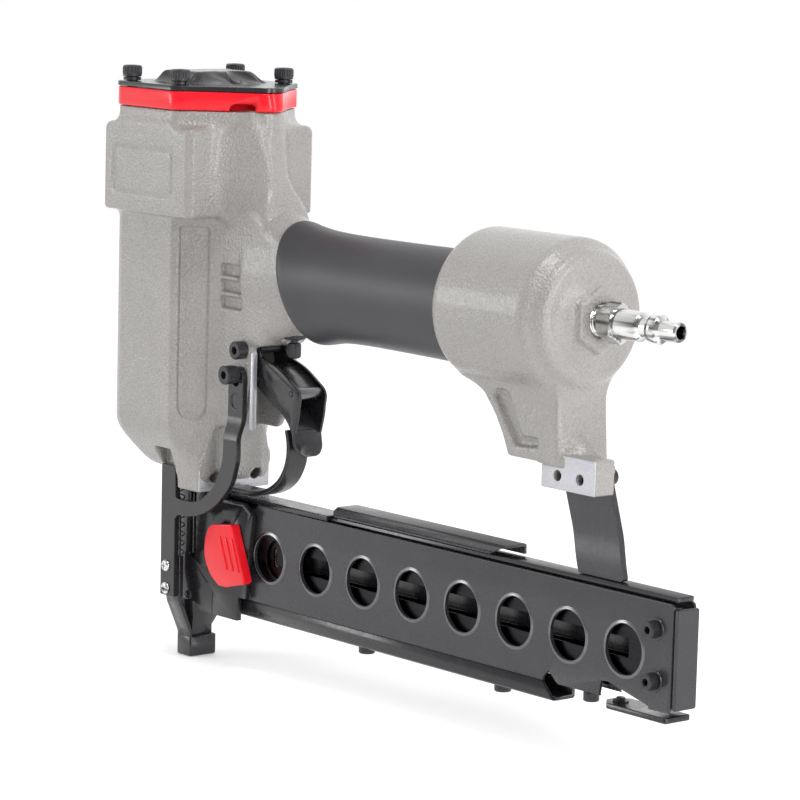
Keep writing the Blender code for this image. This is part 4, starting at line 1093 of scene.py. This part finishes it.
# --- nose and latch ---------------------------------------------------------------------------------
def nose():
    side_view = [(-3.6, 27.0), (10, 27.0), (14, 23.4), (41, 23.4), (41, 34.2), (46.5, 34.2), (50.5, 72.0),
                 (44.0, 76.9), (29.4, 76.9), (29.4, 79.4), (8.3, 79.4), (8.3, 87.2), (-3.6, 87.2)]
    body = slab("guide", side_view, "Y", -9.5, 9.5, BLACK)
    rows = ((27.4, 9.5, -3.6, 10), (26.8, 9.5, -3.6, 10), (13.6, 5.6, -3.9, 3.1), (3.3, 5.6, -3.9, 3.1))
    tip = loft("tip", [[(x0, -y, z), (x1, -y, z), (x1, y, z), (x0, y, z)] for z, y, x0, x1 in rows], BLACK)
    combined(body, tip, "UNION")
    tools = [slab("room", rect(14, -6.9, 70, 6.9), "Z", 10, 77, BLACK),
             slab("driver_way", rect(-1.1, -5.3, 1.1, 5.3), "Z", 0, 95, BLACK),
             slab("feed_mouth", rect(0, -5.3, 20, 5.3), "Z", 36, 75.5, BLACK)]
    groove = [(4.6, 78), (4.6, 49.4)] + arc(7.2, 49.4, 2.6, 180, 360, 8) + [(9.8, 78)]
    rib = [(6.7, 80), (6.7, 49.2)] + arc(7.2, 49.2, 0.5, 180, 360, 4) + [(7.7, 80)]
    tools.append(slab("groove", groove, "Y", -12, -7.3, BLACK))
    tools.append(slab("slit", rect(-2.6, 28.5, -1.4, 66), "Y", -12, -8.4, BLACK))
    tools.append(slab("step_line", rect(22.6, 33.2, 23.1, 20), "Y", -12, -9.1, BLACK))
    drilled(cut(body, *tools), "Y", (-12, -6), 1.8, [(31.5, 0, 62.0)], BLACK)
    bevelled(body, 0.45, 2)
    ridge = slab("ridge", rib, "Y", -9.1, -7.0, BLACK, 0.2)
    lip = slab("lip", rounded([(29.6, 77.0), (45.2, 77.0), (50.6, 73.4), (48.6, 68.6), (47.2, 69.0),
                               (48.6, 72.6), (44.4, 75.6), (29.6, 75.6)], 0.6), "Y", -10.2, -9.3, BLACK, 0.25)
    mark = loft("cast_mark", [
        [(10.0, -5.4, 27.6), (9.0, 2.6, 25.0), (6.2, 0.8, 19.6), (7.6, -4.6, 22.2)],
        [(9.6, -3.8, 26.0), (9.3, 1.2, 24.4), (7.6, 0.2, 21.2), (8.5, -3.4, 22.8)]], BLACK)
    mark.data.transform(Matrix.Translation((0.0006, 0, 0)))
    return joined("nose_guide", body, ridge, lip, bevelled(mark, 0.2))


def front_plate():
    plate = slab("front", rounded([(-9.5, 26.8), (-5.6, 14.0), (5.6, 14.0), (9.5, 26.8), (9.5, 87.2),
                                   (-9.5, 87.2)], 1.0), "X", -7.0, -3.9, BLACK, 0.5, 3)
    relief = rect(-5.3, 10, 5.3, 90)
    return cut(plate, slab("relief", relief, "X", -4.6, -3, BLACK))


def rivet():
    profile = [(-7.2, 1.0), (-9.8, 1.0), (-9.8, 2.3), (-10.5, 2.3), (-10.9, 1.9), (-10.9, 1.3),
               (-10.5, 1.1), (-10.5, 0.3)]
    return turned("nose_rivet_head", profile, "Y", (6.2, 0, 29.8), OXIDE, 40)


def latch():
    """Red finger latch with a bevelled front edge and three ridges."""
    front = smooth_path([(29.1, 65.9), (25.4, 63.6), (22.9, 57.0), (23.4, 49.4), (27.6, 42.8),
                         (33.6, 38.8)], 5)
    outline = front + [(38.8, 38.8), (51.1, 41.9), (52.5, 43.5), (42.2, 67.6)]
    parts = [slab("latch_pad", rounded(outline, 0.8, 2), "Y", -14.6, -10.0, RED, 1.1, 4)]
    for step in range(3):
        x = 33.2 + 4.4 * step
        ridge = rounded([(x, 61.3), (x + 1.5, 61.6), (x + 7.2, 47.0), (x + 5.7, 46.6)], 0.7)
        parts.append(slab("ridge", ridge, "Y", -15.15, -14.3, RED, 0.35, 3))
    return joined("latch_pad", *parts)


settle(nose(), "tool_body", "black_coat", "nose_housing")
settle(front_plate(), "tool_body", "black_coat", "nose_front_plate")
settle(rivet(), "tool_body", "black_screw", "nose_rivet")
settle(latch(), "latch", "red_gloss", "magazine_latch")


# --- magazine ---------------------------------------------------------------------------------------
MAG_Y = 6.3
TAIL_X = COVER_HIGH.x
WINDOWS = [(59.6 + 32.37 * k, 54.4) for k in range(8)]
WINDOW_R = 10.3
COVER_FOOT = 33.3
CORNER_R = 2.2
RAIL_SCREWS_X = (121.0, 209.0)
TAIL_FOOT_SCREWS_X = (262.0, 279.0)
TAIL_SCREWS = [(303.2, 65.6), (303.2, 44.8)]


def cover_outline():
    """Side view of a cover with its two notches in the lower edge."""
    edge = rounded([(238.5, COVER_FOOT), (243.0, 38.0), (247.5, 34.0), (249.5, COVER_FOOT)], 0.6, 2)
    notch = rounded([(272.6, COVER_FOOT), (273.8, 39.6), (277.8, 39.9), (305.5, COVER_FOOT)], 0.6, 2)
    corner_low = arc(TAIL_X - CORNER_R, COVER_FOOT + CORNER_R, CORNER_R, 270, 360, 5)
    corner_high = arc(TAIL_X - CORNER_R, COVER_HIGH.z - CORNER_R, CORNER_R, 0, 90, 5)
    return ([(COVER_LOW.x, 68.2), (47.0, 34.6), (49.0, COVER_FOOT)] + edge + notch + corner_low + corner_high
            + [(52.4, COVER_HIGH.z), (46.4, 74.2)])


def near_cover():
    """Side plate with eight windows whose rims are pressed outwards."""
    plate = slab("plate", cover_outline(), "Y", -MAG_Y, -MAG_Y + 1.3, COVER, 0.5, 3)
    rim = [(w - MAG_Y, WINDOW_R + out) for w, out in (
        (1.2, 0.02), (-0.2, 0.02), (-0.42, 0.25), (-0.4, 0.6), (-0.12, 1.1), (0.02, 1.5), (0.3, 1.3),
        (1.2, 0.02))]
    rims = []
    for x, z in WINDOWS:
        drilled(plate, "Y", (-9, -3), WINDOW_R, [(x, 0, z)], COVER, 72)
        # painted highlight: the window rims are lighter steel in place of their bright edge reflections
        rims.append(turned("rim", rim, "Y", (x, 0, z), PAINTED_HIGHLIGHT_STEEL, 72, 60))
    return joined("near_plate", plate, *rims)


def far_cover():
    return slab("far_plate", cover_outline(), "Y", MAG_Y - 1.1, MAG_Y, COVER, 0.45, 3)


def channel_section(half, top, foot, wall, corner):
    """Section in Y and Z of an upside-down U with rounded outer corners."""
    outer = [(-half, foot)] + arc(-half + corner, top - corner, corner, 180, 90, 4) \
        + arc(half - corner, top - corner, corner, 90, 0, 4) + [(half, foot)]
    inner = [(half - wall, foot), (half - wall, top - wall), (-half + wall, top - wall), (-half + wall, foot)]
    return outer + inner


def top_rail():
    """Wide front plate, then a narrower run that dips under the hood and ends over the tail."""
    front = slab("front", channel_section(MAG_Y, 79.5, 77.2, 6.29, 0.6)[:12], "X", 30.0, 99.0, BLACK, 0.3, 2)
    profile = [(97.0, 77.2), (313.4, 77.2), (313.4, 79.5), (104.5, 79.5), (103.3, 78.4), (97.0, 78.4)]
    return joined("rail", front, slab("run", profile, "Y", -4.6, 4.6, BLACK, 0.6, 3))


def hood():
    """Low channel on the top rail; its near flange ends on a slant before the channel does."""
    body = slab("channel", channel_section(MAG_Y, 84.4, 80.0, 1.2, 1.1), "X", 103.4, 214.0, COVER)
    corner = [(203.2, 78), (206.6, 80.6), (210.4, 82.4), (212.6, 83.2), (216, 83.2), (216, 78)]
    cut(body, slab("corner", corner, "Y", -8, -5.0, COVER))
    front = [(102, 78), (103.6, 82.4), (105.4, 84.0), (105.4, 86), (102, 86)]
    cut(body, slab("front", front, "Y", -8, 8, COVER))
    lip = [(y - 6.05, z + 80.35) for y, z in arc(0, 0, 0.62, 0, 345, 11)]
    rolled = slab("rolled", lip, "X", 104.4, 205.6, COVER, 0.2, 2)
    return joined("hood_channel", bevelled(body, 0.3, 2), rolled)


def low_rail():
    section = [(-6.0, 33.0), (-6.0, 26.4), (-5.2, 25.6), (5.2, 25.6), (6.0, 26.4), (6.0, 33.0), (4.6, 33.0),
               (4.6, 27.2), (-4.6, 27.2), (-4.6, 33.0)]
    rail = slab("tray", section, "X", 37.0, 246.0, BLACK)
    cut(rail, slab("slant", [(-8, -1), (0, 12), (-8, 12)], "Z", 20, 40, BLACK))
    cut(rail, slab("end", [(236, 36), (247, 24), (250, 24), (250, 36)], "Y", -8, -4.4, BLACK))
    parts = [bevelled(rail, 0.3, 2)]
    for x in RAIL_SCREWS_X:
        parts.append(turned("under_head", [(0, 1.6), (0, 3.3), (-0.4, 3.6), (-3.0, 3.6), (-3.4, 3.2),
                                           (-3.4, 1.6)], "Z", (x, 0, 25.6), OXIDE, 40))
        parts.append(turned("stud", [(27.2, 1.2), (32.6, 1.2), (33.0, 0.8)], "Z", (x, -2.2, 0), OXIDE, 24))
    return joined("low_tray", *parts)


def tail_block():
    return slab("tail_filler", rounded(rect(297.5, 37.5, 309.5, 74.0), 0.8),
                "Y", -4.8, 4.8, BLACK, 0.3)


def tail_plate():
    low, high = node_box("magazine_tail_plate")
    outline = rounded(rect(low.y, low.z, high.y, high.z), 1.0)
    return slab("end_plate", outline, "X", low.x, high.x, COVER, 0.55, 3)


def tail_foot():
    """Bent strip under the tail and the two screws that hold it."""
    low, high = node_box("magazine_tail_foot")
    plan = [(low.x, -2.2), (low.x + 5.0, low.y), (high.x, low.y), (high.x, high.y), (low.x + 5.0, high.y),
            (low.x, 3.4)]
    parts = [slab("strip", rounded(plan, 1.2), "Z", low.z, high.z, BLACK, 0.4, 2)]
    for x in TAIL_FOOT_SCREWS_X:
        parts.append(turned("under_head", [(33.0, 1.8), (31.8, 1.8), (31.8, 3.3), (28.6, 3.3), (28.2, 2.9),
                                           (28.2, 1.0)], "Z", (x, 0, 0), OXIDE, 40))
    return joined("tail_strip", *parts)


def tail_screw(number, x, z):
    """Socket screw over a pressed ring of the cover."""
    ring = turned("boss", [(-6.2, 4.8), (-6.55, 4.6), (-6.6, 3.7), (-6.2, 3.6)], "Y", (x, 0, z), COVER, 48)
    screw = socket_screw("tail_head_%d" % number, (x, -MAG_Y - GAP, z), "Y", -1, 3.5, 4.2, 1.7, 1.9, 12.0)
    return joined("tail_head_%d" % number, screw, ring)


def rear_strap():
    """Flat bar from the leg's lug down to the rail, bent twice."""
    outline = [(254.6, 79.8), (280.9, 79.8), (279.6, 84.0), (274.4, 99.5), (268.9, 116.4), (267.4, 122.0),
               (266.2, 122.8), (243.4, 122.8), (241.9, 119.0), (241.8, 116.4), (247.6, 99.5), (253.2, 84.0)]
    strap = slab("bar", rounded(outline, 1.5, 3), "Y", -0.7, 2.3, COVER)
    bent(strap, [81 + 1.9 * k for k in range(11)], lambda z: -1.9 * ramp(-z, -99.5, -82.0))
    return bevelled(drilled(strap, "Y", (-4, 6), STRAP_BORE_R, STRAP_SCREWS, COVER), 0.4, 2)


for piece, body, slot, node in (
        (near_cover(), "magazine_slide", "black_coat", "magazine_near_cover"),
        (far_cover(), "magazine_slide", "black_coat", "magazine_far_cover"),
        (tail_block(), "magazine_slide", "black_coat", "magazine_tail_block"),
        (tail_plate(), "magazine_slide", "black_coat", "magazine_tail_plate"),
        (tail_foot(), "magazine_slide", "black_coat", "magazine_tail_foot"),
        (top_rail(), "tool_body", "black_coat", "magazine_top_rail"),
        (hood(), "tool_body", "black_coat", "magazine_hood"),
        (low_rail(), "tool_body", "black_coat", "magazine_low_rail"),
        (rear_strap(), "tool_body", "black_coat", "rear_bracket")):
    settle(piece, body, slot, node)
for number, (x, z) in enumerate(TAIL_SCREWS, 1):
    settle(tail_screw(number, x, z), "magazine_slide", "black_screw", "tail_screw_%d" % number)
for number, (x, _, z) in enumerate(STRAP_SCREWS, 1):
    settle(socket_screw("strap_head_%d" % number, (x, 2.3 + GAP, z), "Y", 1, 3.3, 3.8, 1.6, 1.95, 11.5),
           "tool_body", "black_screw", "bracket_screw_%d" % number)


# --- finishes of the CAD nodes that stay ------------------------------------------------------------
FINISH = {"hammered_paint": PAINT, "black_coat": BLACK, "black_screw": OXIDE, "steel": STEEL,
          "alloy": ALLOY, "bright_plating": PLATING, "seal": SEAL, "red_gloss": RED,
          "soft_rubber": RUBBER}
DARK_NODES = ("magazine_core_rail", "staple_pusher")


def finish_nodes():
    for name, node in frame["nodes"].items():
        if node.hide_render:
            continue
        node.data.materials.clear()
        node.data.materials.append(DARK_STEEL if name in DARK_NODES else FINISH[SLOT_OF[name]])
        weld = node.modifiers.new("Weld", "WELD")
        weld.merge_threshold = 0.00001
        bevelled(node, 0.2, 2, 40.0)


finish_nodes()


# --- floor, light and camera --------------------------------------------------------------------------
def floor():
    bm = bmesh.new()
    bmesh.ops.create_grid(bm, x_segments=1, y_segments=1, size=60.0)
    mesh = bpy.data.meshes.new("floor")
    bm.to_mesh(mesh)
    bm.free()
    obj = bpy.data.objects.new("floor", mesh)
    obj.location = (0, 0, cad_low.z - 0.0002)
    s = Shader("pale_floor", (0.95, 0.95, 0.95), 0.8, specular=0.2)
    speck = s.noise(40, 2.0, 0.5)
    s.tint(speck, 0.3, 0.8, (0.94, 0.94, 0.94))
    s.shader.inputs["Emission Color"].default_value = (1, 1, 1, 1)
    s.shader.inputs["Emission Strength"].default_value = 0.16
    mesh.materials.append(s.mat)
    bpy.context.scene.collection.objects.link(obj)


def sky():
    """White backdrop behind the tool and a dimmer room on its near side."""
    world = bpy.data.worlds.new("studio")
    world.use_nodes = True
    tree = world.node_tree
    back = tree.nodes["Background"]
    place = tree.nodes.new("ShaderNodeTexCoord")
    towards = tree.nodes.new("ShaderNodeVectorMath")
    towards.operation = "DOT_PRODUCT"
    towards.inputs[1].default_value = (0.74, -0.64, 0.15)
    rise = tree.nodes.new("ShaderNodeMapRange")
    for socket, value in (("From Min", -0.4), ("From Max", 0.9), ("To Min", 1.25), ("To Max", 0.32)):
        rise.inputs[socket].default_value = value
    tree.links.new(place.outputs["Generated"], towards.inputs[0])
    tree.links.new(towards.outputs["Value"], rise.inputs["Value"])
    tree.links.new(rise.outputs["Result"], back.inputs["Strength"])
    back.inputs["Color"].default_value = (1.0, 1.0, 1.0, 1)
    bpy.context.scene.world = world


def softbox(name, azimuth, height, distance, size, power):
    """Area lamp at a bearing (0 looks along +Y, 90 along -X) that points at the tool."""
    middle = (cad_low + cad_high) / 2
    turn = math.radians(azimuth)
    spot = middle + Vector((math.sin(turn), -math.cos(turn), 0)) * distance + Vector((0, 0, height))
    data = bpy.data.lights.new(name, "AREA")
    data.shape = "RECTANGLE"
    data.size, data.size_y = size
    data.energy = power
    lamp = bpy.data.objects.new(name, data)
    lamp.location = spot
    lamp.rotation_euler = (middle - spot).to_track_quat("-Z", "Y").to_euler()
    bpy.context.scene.collection.objects.link(lamp)


def camera():
    """A long lens at the nose's near side, a little above the handle."""
    azimuth, elevation, roll = (math.radians(a) for a in (49.531, 8.088, 1.559))
    back = Vector((math.sin(azimuth) * math.cos(elevation), -math.cos(azimuth) * math.cos(elevation),
                   math.sin(elevation)))
    level = Vector((math.cos(azimuth), math.sin(azimuth), 0))
    up = back.cross(level)
    right = level * math.cos(roll) + up * math.sin(roll)
    over = up * math.cos(roll) - level * math.sin(roll)
    data = bpy.data.cameras.new("camera")
    data.sensor_width = 36.0
    data.lens = 159.087
    data.clip_end = 100.0
    obj = bpy.data.objects.new("camera", data)
    spot = AXIS + Vector((1.2682, -0.9638, 0.3459))
    obj.matrix_world = Matrix([[right.x, over.x, back.x, spot.x], [right.y, over.y, back.y, spot.y],
                               [right.z, over.z, back.z, spot.z], [0, 0, 0, 1]])
    bpy.context.scene.collection.objects.link(obj)
    bpy.context.scene.camera = obj


floor()
sky()
softbox("front_left", -46, 0.22, 1.3, (0.40, 0.40), 3.0)
softbox("right", 74, 0.35, 1.4, (0.25, 1.0), 7.5)
softbox("rear_right", 108, 0.20, 1.3, (0.22, 1.2), 6.0)
softbox("top", 60, 1.1, 0.45, (0.5, 0.30), 6.0)
camera()
bpy.context.scene.view_settings.view_transform = "Standard"
